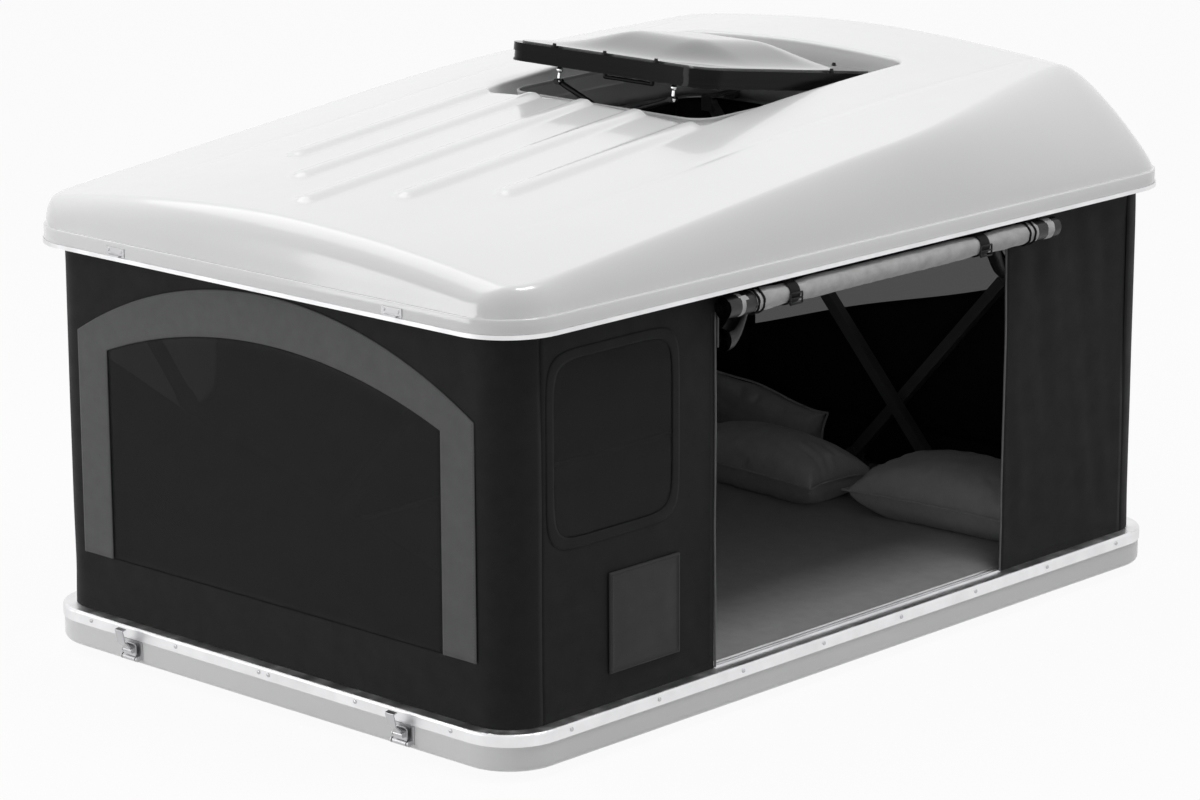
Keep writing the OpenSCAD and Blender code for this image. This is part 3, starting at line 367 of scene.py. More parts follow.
nodeFinish = {
    "base_tray": trayGloss, "floor_board": floorPly, "base_frame": bandAlu, "mount_rails": railAlu,
    "rail_bolts": latchSteel, "door_sill": bandAlu, "arm_feet": armPaint, "arm_brackets": armPaint,
    "roof_trim": bandAlu, "roof_frame": railAlu, "latch_plates": latchSteel, "latch_keepers": latchSteel,
    "skylight_frame": rimWhite, "skylight_seal": sealGrey, "stay_tracks": blackPlastic,
    "hatch_frame": hatchGloss, "hatch_seal": sealRubber, "hatch_caps": blackPlastic,
    "hatch_handle": blackPlastic, "hatch_hinges": blackPlastic,
    "stay_left": blackPlastic, "stay_right": blackPlastic,
}
for corner in ("fl", "fr", "rl", "rr"):
    for part, finish in (("arm_sleeve_", armPaint), ("arm_tube_", armPaint), ("latch_lever_", latchSteel),
                         ("latch_hook_", latchSteel)):
        nodeFinish[part + corner] = finish
for nodeName, finish in nodeFinish.items():
    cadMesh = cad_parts[nodeName].data
    cadMesh.materials.clear()
    cadMesh.materials.append(finish)


# roof shell

roofShape = {
    "lipZ": 0.897, "lipW": 1.450, "lipL": 2.150, "lipR": 0.131, "lipH": 0.036, "ledge": 0.008, "skin": 0.005,
    "frontH": 0.140, "slope": 0.111, "sink": 0.069, "sinkY": -0.100,
    "crown": 0.049, "crownBend": 1.8, "shoulderX": 0.650,
    "sideD": 0.028, "midSideD": 0.04004, "midFrom": -1.0, "midRun": 1.1, "rearSideD": 0.185,
    "sideBend": 2, "rearBend": 1.4, "frontD": 0.060, "frontBend": 2.2,
    "rearD": 0.220, "tailBend": 1.75, "tailY": 0.100, "tailRun": 0.9,
    "ribs": (-2, -1, 0, 1, 2), "ribW": 0.062, "ribH": 0.009, "ribFlank": 0.72, "ribPitch": 0.155,
    "ribStart": -0.912, "ribStep": 0.133, "ribEnd": -0.107,
    "lineX": 0.485, "lineW": 0.007, "lineDeep": 0.0009, "lineY": -0.86, "lineFade": 0.2,
    "recessW": 0.646, "recessL": 0.692, "recessR": 0.040, "recessY": 0.254, "recessZ": 1.104, "tilt": 1.0,
    "footR": 0.010, "brimR": 0.009, "openW": 0.566, "openL": 0.582, "openR": 0.050,
    "topEdge": 0.003, "rowBend": 1.8, "innerEdge": 0.0054, "innerFoot": 0.007, "innerBend": 1.7,
    "front": 120, "rear": 80, "side": 96, "corner": 14, "rows": 110, "innerRows": 20,
}
lipProfile = (  # inset and height, from the top of the lip round its edge to its inner face
    (0.0009, 0.0352), (0.0, 0.033), (0.0, 0.018), (0.0, 0.004), (0.0008, 0.001), (0.003, 0.0), (0.005, 0.0),
    (0.005, 0.030),
)


def lipHalf(y, inset):
    s = roofShape
    return s["lipW"] / 2 - inset - cornerCut(s["lipR"] - inset, s["lipL"] / 2 - inset - abs(y))


def roofHeight(x, y, inset):
    s = roofShape
    side = lipHalf(y, inset) - abs(x) - s["ledge"]
    front = y + s["lipL"] / 2 - inset - s["ledge"]
    rear = s["lipL"] / 2 - inset - y - s["ledge"]
    bend = max(0.0, (y - s["sinkY"]) / (s["lipL"] / 2 - s["sinkY"]))
    top = (s["frontH"] + s["slope"] * (y + s["lipL"] / 2) - s["sink"] * bend * bend
           - s["crown"] * (abs(x) / s["shoulderX"]) ** s["crownBend"])
    tail = ease((y - s["tailY"]) / s["tailRun"])
    wide = mix(s["sideD"], s["midSideD"], ease((y - s["midFrom"]) / s["midRun"]))
    wide = mix(wide, s["rearSideD"], tail)
    rise = (swell(front / s["frontD"], s["frontBend"]) * swell(rear / s["rearD"], s["tailBend"])
            * swell(side / wide, mix(s["sideBend"], s["rearBend"], tail)))
    return s["lipZ"] + s["lipH"] - inset + (top - s["lipH"]) * rise


def ribLift(x, y):
    s, lift = roofShape, 0.0
    for k in s["ribs"]:
        start = abs(k) * s["ribStep"] + s["ribStart"]
        nearest = min(s["ribEnd"], max(start, y))
        u = math.hypot(x - k * s["ribPitch"], y - nearest) / (s["ribW"] / 2)
        lift = max(lift, s["ribH"] * ease((1 - u) / s["ribFlank"]))
    return lift


def roofTop(x, y):
    s = roofShape
    line = s["lineDeep"] * math.exp(-((abs(x) - s["lineX"]) / s["lineW"]) ** 2)
    return roofHeight(x, y, 0.0) + ribLift(x, y) - line * ease((y - s["lineY"]) / s["lineFade"])


def roundLoop(w, l, r, middleY, grow):
    s = roofShape
    w, l, r = w / 2 + grow, l / 2 + grow, max(0.001, r + grow)
    loop = []
    corners = [(w - r, r - l, -90), (w - r, l - r, 0), (r - w, l - r, 90), (r - w, r - l, 180)]
    starts = [(r - w, -l), (w, r - l), (w - r, l), (-w, l - r)]
    ends = [(w - r, -l), (w, l - r), (r - w, l), (-w, r - l)]
    counts = (s["front"], s["side"], s["rear"], s["side"])
    for start, end, (cx, cy, angle), count in zip(starts, ends, corners, counts):
        for k in range(count):
            loop.append((mix(start[0], end[0], k / count), middleY + mix(start[1], end[1], k / count)))
        for k in range(s["corner"]):
            a = math.radians(angle + 90 * k / s["corner"])
            loop.append((cx + r * math.cos(a), middleY + cy + r * math.sin(a)))
    return loop


def buildRoof():
    s = roofShape
    foot, brim, skin = s["footR"], s["brimR"], s["skin"]

    def floorZ(y):
        return s["recessZ"] + (y - s["recessY"]) * math.tan(math.radians(s["tilt"]))

    def recess(grow):
        return roundLoop(s["recessW"], s["recessL"], s["recessR"], s["recessY"], grow)

    def lip(inset):
        return roundLoop(s["lipW"], s["lipL"], s["lipR"], 0.0, -inset)

    def between(loopA, loopB, t, height):
        ring = [(mix(p[0], q[0], t), mix(p[1], q[1], t)) for p, q in zip(loopA, loopB)]
        return [(x, y, height(x, y)) for x, y in ring]

    opening = roundLoop(s["openW"], s["openL"], s["openR"], s["recessY"], 0.0)
    rows = [[(x, y, floorZ(y) - skin) for x, y in opening], [(x, y, floorZ(y)) for x, y in opening]]
    for angle in (0, 22.5, 45, 67.5, 90):  # round foot of the recess
        a = math.radians(angle)
        rows.append([(x, y, floorZ(y) + foot * (1 - math.cos(a))) for x, y in recess(-foot * (1 - math.sin(a)))])
    edge = [roofTop(x, y) for x, y in recess(brim)]
    for angle in (0, 18, 36, 54, 72):  # round brim of the recess
        a = math.radians(angle)
        rows.append([(x, y, z - brim * (1 - math.sin(a)))
                     for (x, y), z in zip(recess(brim * (1 - math.cos(a))), edge)])
    inner, outer = recess(brim), lip(s["topEdge"])
    for k in range(s["rows"] + 1):  # top, closer rows towards the lip
        rows.append(between(inner, outer, 1 - (1 - k / s["rows"]) ** s["rowBend"], roofTop))
    for inset, z in lipProfile:
        rows.append([(x, y, s["lipZ"] + z) for x, y in lip(inset)])
    inner, outer = recess(s["innerFoot"]), lip(s["innerEdge"])
    for k in range(s["innerRows"] + 1):  # back up the inside to the recess
        rows.append(between(outer, inner, (k / s["innerRows"]) ** s["innerBend"],
                            lambda x, y: roofHeight(x, y, skin)))
    rows.append([(x, y, floorZ(y) - skin) for x, y in recess(skin)])
    points = [p for row in rows for p in row]
    faces = gridFaces(len(rows), len(opening), closed=True, looped=True)
    piece = makePiece("roofSkin", points, faces, [roofGloss], "roof")
    faceOut(piece, sharpAt=50)
    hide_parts("roof_shell")


buildRoof()
print("roof made")


# fabric walls

wallShape = {
    "halfW": 0.683, "halfL": 1.033, "r": 0.089, "low": 0.100, "high": 0.935, "thick": 0.0016, "sunk": 0.0004,
    "windowHalf": 0.497, "sill": 0.228, "crown": 0.774, "archR": 1.4015,
    "sideY": -0.739, "sideZ": 0.6445, "sideW": 0.350, "sideH": 0.369, "sideR": 0.045,
    "doorFront": -0.442, "doorRear": 0.507, "doorTop": 0.845, "doorMiddle": 0.46,
    "endCells": (12, 8, 64, 8, 12), "rightCells": (3, 36, 8, 40, 40), "leftCells": (3, 36, 70), "rows": (16, 26, 14),
    "fold": 0.0030, "slack": 0.0006, "hemRun": 0.10, "edgeRun": 0.05, "hangFold": 0.0042,
}
wallSeed = {"Front": 1.0, "Rear": 7.0, "Right": 13.0, "Left": 21.0}
ends = (("Front", False), ("Rear", True))
softPieces = []


def arcZ(u, half, crown, r):
    u = min(abs(u), half)
    return crown - r + math.sqrt(r ** 2 - u * u)


def archZ(u):
    return arcZ(u, wallShape["windowHalf"], wallShape["crown"], wallShape["archR"])


# place on an end wall: distance along the cloth, height and distance outwards
def onEnd(rear):
    s = wallShape
    flat, turn = s["halfW"] - s["r"], -1 if rear else 1

    def place(u, z, out):
        a = max(0.0, abs(u) - flat) / s["r"]
        nx, ny = math.copysign(math.sin(a), u), -math.cos(a)
        x = math.copysign(min(abs(u), flat), u) + nx * (s["r"] + out)
        y = s["r"] - s["halfL"] + ny * (s["r"] + out)
        return Vector((turn * x, turn * y, z)), Vector((turn * nx, turn * ny, 0))
    return place


def onSide(side):
    def place(u, z, out):
        return Vector((side * (wallShape["halfW"] + out), u, z)), Vector((side, 0, 0))
    return place


# lower and upper edge of a side window
def sideWindow(u):
    s = wallShape
    rise = cornerCut(s["sideR"], s["sideW"] / 2 - abs(u - s["sideY"]))
    return s["sideZ"] - s["sideH"] / 2 + rise, s["sideZ"] + s["sideH"] / 2 - rise


# lines of spots, each with its distance outwards, make one part of a cloth
def clothPart(place, lines, flip=False, closed=False, inHole=None):
    points, normals, uvs = [], [], []
    for line in lines:
        for u, z, out in line:
            p, n = place(u, z, out)
            points.append(p)
            normals.append(n)
            uvs.append((u, z))
    faces = gridFaces(len(lines), len(lines[0]), closed)
    if flip:
        faces = [face[::-1] for face in faces]
    if inHole:
        cells = len(lines[0]) - 1
        faces = [face for k, face in enumerate(faces) if not inHole(k // cells, k % cells)]
        faces, points, normals, uvs = dropLoose(points, faces, normals, uvs)
    return points, faces, normals, uvs


def patchPart(place, columns, low, high, rows, out, flip=False):
    return clothPart(place, [[(u, z, out(u, z)) for z in spread(low(u), high(u), rows)] for u in columns], flip)


def sheetPiece(name, nodes, parts, thick, finish, area=None):
    points, faces, normals, uvs = [], [], [], []
    wide = tall = covered = 0.0
    for partPoints, partFaces, partNormals, partUvs in parts:
        faces += [tuple(i + len(points) for i in face) for face in partFaces]
        points += partPoints
        normals += partNormals
        uvs += partUvs
        across, up = [max(values) - min(values) for values in zip(*partUvs)]
        wide, tall, covered = wide + across, max(tall, up), covered + flatArea(partFaces, partUvs)
    points, faces, uvs = thicken(points, faces, normals, thick, uvs)
    piece = makePiece(name, points, faces, [finish], "base", uvs)
    if nodes:
        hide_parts(*nodes)
    area or covered
    softPieces.append(piece)


# a wall in three bands of rows: below, beside and above its openings
def wallSheet(name, node, place, columns, levels, inOpening, bulge, flip=False):
    s = wallShape
    below, beside = s["rows"][:2]

    def heights(u):
        return stretches((s["low"], *levels(u), s["high"]), s["rows"])

    def inHole(i, k):
        band = 0 if k < below else 1 if k < below + beside else 2
        return inOpening((columns[i] + columns[i + 1]) / 2, band)

    lines = [[(u, z, bulge(u, z) - s["sunk"]) for z in heights(u)] for u in columns]
    part = clothPart(place, lines, flip, inHole=inHole)
    sheetPiece(name, [node], [part], s["thick"], wallCloth)


# soft hollows between the hems, with drawn folds near held edges
def clothBulge(u, z, clear, seed):
    s = wallShape
    held = (ease((z - s["low"]) / s["hemRun"]) * ease((s["high"] - z) / s["hemRun"]) * ease(clear / s["edgeRun"]))
    soft = wobble(u * 2.6 + seed, z * 2.2, seed) + 0.45 * wobble(u * 7 + seed, z * 3.1, 3.0 + seed)
    crease = wobble(u * 17 + 4 * z, z * 4 - 2 * u, seed + 8) * 0.22
    return s["fold"] * held * (soft + crease) - s["slack"] * held


def buildEndWalls():
    s = wallShape
    flat, w = s["halfW"] - s["r"], s["windowHalf"]
    reach = flat + s["r"] * math.pi / 2
    columns = stretches((-reach, -flat, -w, w, flat, reach), s["endCells"])

    def clear(u, z):
        return max(abs(u) - w, z - archZ(u), s["sill"] - z, 0.0)

    for end, rear in ends:
        wallSheet("wall" + end, "wall_" + end.lower(), onEnd(rear), columns, lambda u: (s["sill"], archZ(u)),
                  lambda u, band: band == 1 and abs(u) < w,
                  lambda u, z: clothBulge(u, z, clear(u, z), wallSeed[end]))


def buildSideWalls():
    s = wallShape
    half = s["halfL"] - s["r"]
    a, b = s["sideY"] - s["sideW"] / 2, s["sideY"] + s["sideW"] / 2
    low, high = s["sideZ"] - s["sideH"] / 2, s["sideZ"] + s["sideH"] / 2
    right = stretches((-half, a, b, s["doorFront"], s["doorRear"], half), s["rightCells"])
    left = stretches((-half, a, b, half), s["leftCells"])

    def inWindow(u, band):
        return band == 1 and a < u < b

    def windowClear(u, z):
        return max(a - u, u - b, low - z, z - high, 0.0)

    def rightLevels(u):
        z0, z1 = sideWindow(u)
        t = ease((u - b) / (s["doorFront"] - b))
        return mix(z0, s["doorMiddle"], t), mix(z1, s["doorTop"], t)

    def rightOpening(u, band):
        return inWindow(u, band) or band < 2 and s["doorFront"] < u < s["doorRear"]

    def rightBulge(u, z):
        doorClear = max(s["doorFront"] - u, u - s["doorRear"], z - s["doorTop"], 0.0)
        drop = 0.0
        if u > s["doorRear"]:  # long folds that fall from the tied door
            t = (u - s["doorRear"]) / (half - s["doorRear"])
            drop = (s["hangFold"] * wobble(u * 16 + 2.2 * z, z * 0.9, 5.0) * ease(t / 0.12)
                    * ease((1 - t) / 0.2) * ease((z - s["low"]) / 0.2) * ease((s["high"] - z) / 0.12))
        return clothBulge(u, z, min(windowClear(u, z), doorClear), wallSeed["Right"]) + drop

    wallSheet("wallRight", "wall_right", onSide(1), right, rightLevels, rightOpening, rightBulge)
    wallSheet("wallLeft", "wall_left", onSide(-1), left, sideWindow, inWindow,
              lambda u, z: clothBulge(u, z, windowClear(u, z), wallSeed["Left"]), flip=True)


netShape = {"lap": 0.004, "sideLap": 0.003, "thick": 0.0007, "sunk": 0.0012, "wave": 0.0004, "sideWave": 0.0005,
            "columns": 56, "rows": 30, "sideColumns": 30, "sideRows": 24}


def buildNets():
    s, q = wallShape, netShape
    w, lap = s["windowHalf"] + q["lap"], q["sideLap"]
    for end, rear in ends:
        part = patchPart(onEnd(rear), spread(-w, w, q["columns"]), lambda u: s["sill"] - q["lap"],
                         lambda u: archZ(u) + q["lap"], q["rows"],
                         lambda u, z: q["wave"] * wobble(u * 4, z * 4, 2.0) - q["sunk"])
        sheetPiece("net" + end, ["mesh_" + end.lower()], [part], q["thick"], windowNet)
    a, b = s["sideY"] - s["sideW"] / 2, s["sideY"] + s["sideW"] / 2

    def edges(u):
        return sideWindow(min(b, max(a, u)))

    parts = [patchPart(onSide(side), spread(a - lap, b + lap, q["sideColumns"]), lambda u: edges(u)[0] - lap,
                       lambda u: edges(u)[1] + lap, q["sideRows"],
                       lambda u, z: q["sideWave"] * wobble(u * 5, z * 5, 9.0) - q["sunk"], side < 0)
             for side in (1, -1)]
    sheetPiece("netSides", ["mesh_sides"], parts, q["thick"], windowNet)


blindShape = {"half": 0.507, "low": 0.208, "leftTop": 0.660, "rightTop": 0.388, "curl": 0.004, "curls": 9,
              "thick": 0.0009, "sunk": 0.0044, "sway": 0.0075, "columns": 48, "rows": 20}


# blinds let down behind the end windows, their loose top edges at a slant
def buildBlinds():
    s = blindShape

    def top(u):
        slant = mix(s["leftTop"], s["rightTop"], (u + s["half"]) / (2 * s["half"]))
        return slant + s["curl"] * math.sin(s["curls"] * u)

    for end, rear in ends:
        def hang(u, z):
            t = (z - s["low"]) / (top(u) - s["low"])
            return -s["sunk"] - s["sway"] * ease(t) * (0.5 + 0.5 * wobble(u * 5 + z, z * 2.0, 4.0 + rear))

        part = patchPart(onEnd(rear), spread(-s["half"], s["half"], s["columns"]), lambda u: s["low"], top, s["rows"],
                         hang)
        sheetPiece("blind" + end, [] if rear else ["window_blinds"], [part], s["thick"], blindCloth)


borderShape = {
    "half": 0.590, "crown": 0.876, "r": 1.1564, "thick": 0.0015, "strip": 0.096, "out": 0.0016, "puff": 0.0011,
    "hem": 0.0005, "across": (0.0, 0.03, 0.1, 0.25, 0.4, 0.55, 0.7, 0.9, 0.97, 1.0), "hemAt": (0.03, 0.1, 0.9, 0.97),
}


# path round a window, from the net's edge (0) to the border's outer edge (1)
def borderPath(inset, steps=30):
    s, q = wallShape, borderShape

    def spot(t):
        u, v = s["windowHalf"] * t, q["half"] * t
        return mix(u, v, inset), mix(archZ(u), arcZ(v, q["half"], q["crown"], q["r"]), inset)

    half, shoulder = spot(1)
    return ([(-half, z) for z in spread(s["sill"], shoulder, steps)]
            + [spot(k / steps - 1) for k in range(1, 2 * steps)]
            + [(half, z) for z in spread(shoulder, s["sill"], steps)])


def buildBorders():
    s = borderShape
    lines = []
    for t in s["across"]:
        hem = s["hem"] if t in s["hemAt"] else 0.0
        full = s["puff"] * math.sin(math.pi * t)
        lines.append([(u, z, s["out"] + hem + full * (0.7 + 0.6 * wobble(u * 6, z * 6, 2.0)))
                      for u, z in borderPath(t)])
    for end, rear in ends:
        part = clothPart(onEnd(rear), lines)
        length = flatArea(part[1], part[3]) / s["strip"]
        sheetPiece("border" + end, ["border_" + end.lower()], [part], s["thick"], borderCloth)


pocketShape = {"y": -0.6525, "z": 0.266, "w": 0.207, "h": 0.210, "thick": 0.0010, "deep": 0.0048, "edge": 0.62,
               "edgeRun": 0.006, "fullRun": 0.045, "hem": 0.008, "hemRise": 0.0014, "hemIn": 0.0018, "hemOut": 0.0015,
               "back": 0.0012, "dent": 0.0012, "cells": 44}


def buildPocket():
    s, n = pocketShape, pocketShape["cells"]

    def out(u, z):
        edge = min(s["w"] / 2 - abs(u - s["y"]), s["h"] / 2 - abs(z - s["z"]))
        full = ease((edge - s["hem"]) / s["fullRun"])
        body = s["deep"] * swell(edge / s["edgeRun"], 2) * s["edge"] + s["deep"] * (1 - s["edge"]) * full
        hem = s["hemRise"] * ease(edge / s["hemOut"]) * ease((s["hem"] - edge) / s["hemIn"])
        return s["back"] + body + hem + s["dent"] * full * wobble(u * 13, z * 11, 3.3)

    us = [s["y"] + s["w"] / 2 * crowd(k, n) for k in range(n + 1)]
    zs = [s["z"] + s["h"] / 2 * crowd(k, n) for k in range(n + 1)]
    part = clothPart(onSide(1), [[(u, z, out(u, z)) for z in zs] for u in us])
    sheetPiece("sidePocket", ["side_pocket"], [part], s["thick"], pocketCloth)


buildEndWalls()
buildSideWalls()
buildNets()
buildBlinds()
buildBorders()
buildPocket()
print("walls, windows, borders and pocket made")


# rolled door and net, tied up over the opening

rollShape = {
    "doorX": 0.7115, "doorZ": 0.861, "doorR": 0.0252, "doorCore": 0.0065, "doorY0": -0.450, "doorY1": 0.632,
    "doorTurns": 8, "doorRows": 96, "doorCrinkle": 0.0016,
    "netX": 0.650, "netZ": 0.860, "netR": 0.0192, "netCore": 0.0035, "netY0": -0.382, "netY1": 0.552,
    "netTurns": 6, "netRows": 110, "netCrinkle": 0.0011, "hang": 0.085, "loosen": 0.42,
    "tieIn": 0.01, "tieRun": 0.08, "perTurn": 22, "startAngle": 0.8, "looseTurns": 1.6, "slim": 0.02,
    "cuff": (0.075, 0.085), "cuffWave": 0.006, "gapFront": (0.028, 0.044), "gapRear": (0.030, 0.052),
}
strapShape = {"y": (-0.255, 0.365), "w": 0.030, "t": 0.0015, "nip": 0.10, "nipRun": 1.6, "slack": 0.0013,
              "outside": 0.0012, "inside": -0.0040, "top": 0.9345, "bend": 0.915, "buckleLow": 0.35}
buckleShape = {"half": 0.0185, "high": 0.011, "wire": 0.0021, "off": 0.0022}
ringShape = {"front": (0.082, 0.098), "rear": (0.094, 0.112), "wire": 0.0026, "twist": 0.0012, "spots": 28}


# the straps draw the rolls in
def nipAt(y):
    s = strapShape
    return s["nip"] * max(math.exp(-((y - q) / (s["nipRun"] * s["w"])) ** 4) for q in s["y"])


def spiralRoll(kind, centre, scale):
    s = rollShape
    y0, y1, radius, core, turns, rows, crinkle = [
        s[kind + key] for key in ("Y0", "Y1", "R", "Core", "Turns", "Rows", "Crinkle")]
    columns = turns * s["perTurn"] + 1
    radii = spread(core, radius, columns - 1)
    along = [0.0]
    for r in radii[1:]:
        along.append(along[-1] + r * 2 * math.pi / s["perTurn"])
    points, uvs = [], []
    for y in spread(y0, y1, rows):
        cx, cz = centre(y)
        for k in range(columns):
            a = 2 * math.pi * k / s["perTurn"] + s["startAngle"]
            outer = ease((k / (columns - 1) - 1 + s["looseTurns"] / turns) * turns)
            r = radii[k] * scale(y) * (1 - nipAt(y) - s["slim"])
            r += crinkle * outer * (0.6 * wobble(y * 46 + 5 * math.sin(a), 3 * math.cos(a) + y * 9, 2.0)
                                    + 0.7 * wobble(y * 19 + 3 * a, 2.2 * math.sin(a), 7.0) - 0.5)
            points.append((cx + r * math.cos(a), y, cz + r * math.sin(a)))
            uvs.append((y, along[k]))
    faces = [face[::-1] for face in gridFaces(rows + 1, columns)]
    return points, faces, uvs, along[-1]


# 1 where the straps hold the net up, 0 at its hanging ends
def tied(y):
    s = rollShape
    front, rear = y - s["netY0"] - s["tieIn"], s["netY1"] - y - s["tieIn"]
    return ease(front / s["tieRun"]) * ease(rear / s["tieRun"])


# the dark outer cloth shows at the door's ends, but for a light fold near each
def inCuff(y):
    s = rollShape
    front, rear = y - s["doorY0"], s["doorY1"] - y
    fold = s["gapFront"][0] < front < s["gapFront"][1] or s["gapRear"][0] < rear < s["gapRear"][1]
    return (front < s["cuff"][0] or rear < s["cuff"][1]) and not fold


def buildRolls():
    s = rollShape
    points, faces, uvs, length = spiralRoll("door", lambda y: (s["doorX"], s["doorZ"]),
                                            lambda y: 1 - 0.02 * math.cos(9 * y))
    finishOf = []
    for face in faces:
        x, y, z = points[face[-1]]
        finishOf.append(1 if inCuff(y + s["cuffWave"] * wobble(x * 60, z * 60, 1.0)) else 0)
    door = makePiece("doorRoll", points, faces, [liningCloth, cuffCloth], "base", uvs, finishOf)
    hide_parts("door_roll")
    points, faces, uvs, length = spiralRoll("net", lambda y: (s["netX"], s["netZ"] - s["hang"] * (1 - tied(y))),
                                            lambda y: 1 + s["loosen"] * (1 - tied(y)))
    net = makePiece("netRoll", points, faces, [cuffCloth], "base", uvs)
    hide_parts("net_roll")
    return [door, net]


# flat tape along a path in the x-z plane, standing across y
def tape(path, y, width, thickness):
    points, uvs, n, run = [], [], len(path), 0.0
    section = [(-0.5, 0.3), (-0.46, 0.5), (0.46, 0.5), (0.5, 0.3), (0.5, -0.3), (0.46, -0.5), (-0.46, -0.5),
               (-0.5, -0.3)]
    sides = len(section)
    for i, (x, z) in enumerate(path):
        before, after = path[max(0, i - 1)], path[min(n - 1, i + 1)]
        dx, dz = after[0] - before[0], after[1] - before[1]
        size = math.hypot(dx, dz)
        nx, nz = dz / size, -dx / size
        run += math.hypot(x - before[0], z - before[1])
        for across, up in section:
            points.append((x + nx * up * thickness, y + across * width, z + nz * up * thickness))
            uvs.append((across * width, run))
    faces = [face[::-1] for face in gridFaces(n, sides, closed=True)]
    faces += [tuple(reversed(range(sides))), tuple(range((n - 1) * sides, n * sides))]
    return (points, faces), uvs, run


def buildStraps():
    s, q = strapShape, rollShape
    tapes, buckles = [], []
    for y in s["y"]:
        for side, kind in ((1, "door"), (-1, "net")):
            x, z = q[kind + "X"], q[kind + "Z"]
            wall = wallShape["halfW"] + s["outside" if side > 0 else "inside"]
            loop = q[kind + "R"] * (1 - s["nip"]) + s["slack"]
            path = [(wall, s["top"]), (wall, s["bend"]), (wall, z + 0.6 * loop)]
            for k in range(3, 34):  # down the wall, then round the roll and back
                a = math.radians(180 + 10 * k if side > 0 else -10 * k)
                path.append((x + loop * math.cos(a), z + loop * math.sin(a)))
            path.append((wall, z - 0.2 * loop))
            tapes.append(tape(path, y, s["w"], s["t"]))
            buckles.append((x + side * (loop + buckleShape["off"]), y, z - s["buckleLow"] * loop))
    points, faces = joined([part for part, uvs, run in tapes])
    straps = makePiece("rollStraps", points, faces, [webTape], "base", [uv for part, uvs, run in tapes for uv in uvs])
    faceOut(straps)
    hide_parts("roll_straps")
    half, high, wire = [buckleShape[key] for key in ("half", "high", "wire")]
    wires = []
    for x, y, z in buckles:
        wires += [tube([(x, y + dy, z - high), (x, y + dy, z + high)], wire) for dy in (-half, half)]
        wires += [tube([(x, y - half, z + dz), (x, y + half, z + dz)], wire) for dz in (-high, 0.0, high)]
    buckle = makePiece("strapBuckles", *joined(wires), [blackPlastic], "base")
    return [straps, buckle]


# elastic rings round the door roll's ends
def buildRings():
    s, q = rollShape, ringShape
    rings = []
    for y in [s["doorY0"] + d for d in q["front"]] + [s["doorY1"] - d for d in q["rear"]]:
        path = []
        for k in range(q["spots"]):
            a = 2 * math.pi * k / q["spots"]
            path.append((s["doorX"] + s["doorR"] * math.cos(a), y + q["twist"] * math.sin(k * 1.3),
                         s["doorZ"] + s["doorR"] * math.sin(a)))
        rings.append(tube(path, q["wire"], closed=True))
    ring = makePiece("rollRings", *joined(rings), [sealRubber], "base")
    return [ring]


rolls = buildRolls() + buildStraps() + buildRings()
print("rolls and straps made")


# piping and hems along the door's edges, rims round the side windows

pipingShape = {"out": 0.0010, "cord": 0.0024, "low": 0.102, "high": 0.842, "lap": 0.002, "wave": 0.0012, "sway": 0.003,
               "pull": 0.0019, "pullLow": 0.775, "pullOut": 0.0045, "pullIn": 0.004}


def buildPiping():
    s, q = wallShape, pipingShape
    x, cord = s["halfW"] + q["out"], q["cord"]
    cords = []
    for y, turn in ((s["doorFront"], 1), (s["doorRear"], -1)):
        path = [(x + q["wave"] * wobble(z * 9, y, 1.0), y + turn * q["lap"] + q["sway"] * wobble(z * 4, y, 6.0), z)
                for z in spread(q["low"], q["high"], 60)]
        cords.append(tube(path, cord))
    cords.append(tube([(x, y, s["doorTop"]) for y in spread(s["doorFront"], s["doorRear"], 40)], cord))
    cords.append(tube([(x + q["pullOut"], s["doorFront"] + q["pullIn"], z)
                       for z in spread(q["pullLow"], q["high"], 10)], q["pull"]))
    piping = makePiece("doorPiping", *joined(cords), [threadGrey], "base")
    softPieces.append(piping)


rimShape = {"inner": -0.004, "outer": 0.017, "thick": 0.0009, "out": 0.0006, "puff": 0.0005, "corner": 0.28,
            "rows": 5, "spots": 120}


def buildRims():
    s, q = wallShape, rimShape

    def square(c):
        return math.copysign(abs(c) ** q["corner"], c)

    angles = [2 * math.pi * k / q["spots"] for k in range(q["spots"])]
    lines = []
    for t in spread(0, 1, q["rows"]):
        grow, out = mix(q["inner"], q["outer"], t), q["out"] + q["puff"] * math.sin(math.pi * t)
        lines.append([(s["sideY"] + square(math.cos(a)) * (s["sideW"] / 2 + grow),
                       s["sideZ"] + square(math.sin(a)) * (s["sideH"] / 2 + grow), out) for a in angles])
    parts = [clothPart(onSide(side), lines, side < 0, closed=True) for side in (1, -1)]
    area = 4 * (s["sideW"] + s["sideH"]) * (q["outer"] - q["inner"])
    sheetPiece("sideWindowRims", [], parts, q["thick"], wallCloth,
               area=area)


buildPiping()
buildRims()


# stitches and rivets: Geometry Nodes set a small shape on each spot

def startTree(name, sockets, result):
    tree = bpy.data.node_groups.new(name, "GeometryNodeTree")
    for socket, kind in sockets.items():
        tree.interface.new_socket(socket, in_out="INPUT", socket_type="NodeSocket" + kind)
    tree.interface.new_socket(result, in_out="OUTPUT", socket_type="NodeSocketGeometry")
    return tree, addNode(tree, "NodeGroupInput").outputs


def endTree(tree, spots, shape, turn, size, finish):
    put = addNode(tree, "GeometryNodeInstanceOnPoints",
                  {"Points": spots, "Instance": shape, "Rotation": turn, "Scale": size})
    solid = addNode(tree, "GeometryNodeRealizeInstances", {"Geometry": put.outputs["Instances"]})
    paint = addNode(tree, "GeometryNodeSetMaterial", {"Geometry": solid.outputs["Geometry"], "Material": finish})
    addNode(tree, "NodeGroupOutput", {0: paint.outputs["Geometry"]})
    return tree


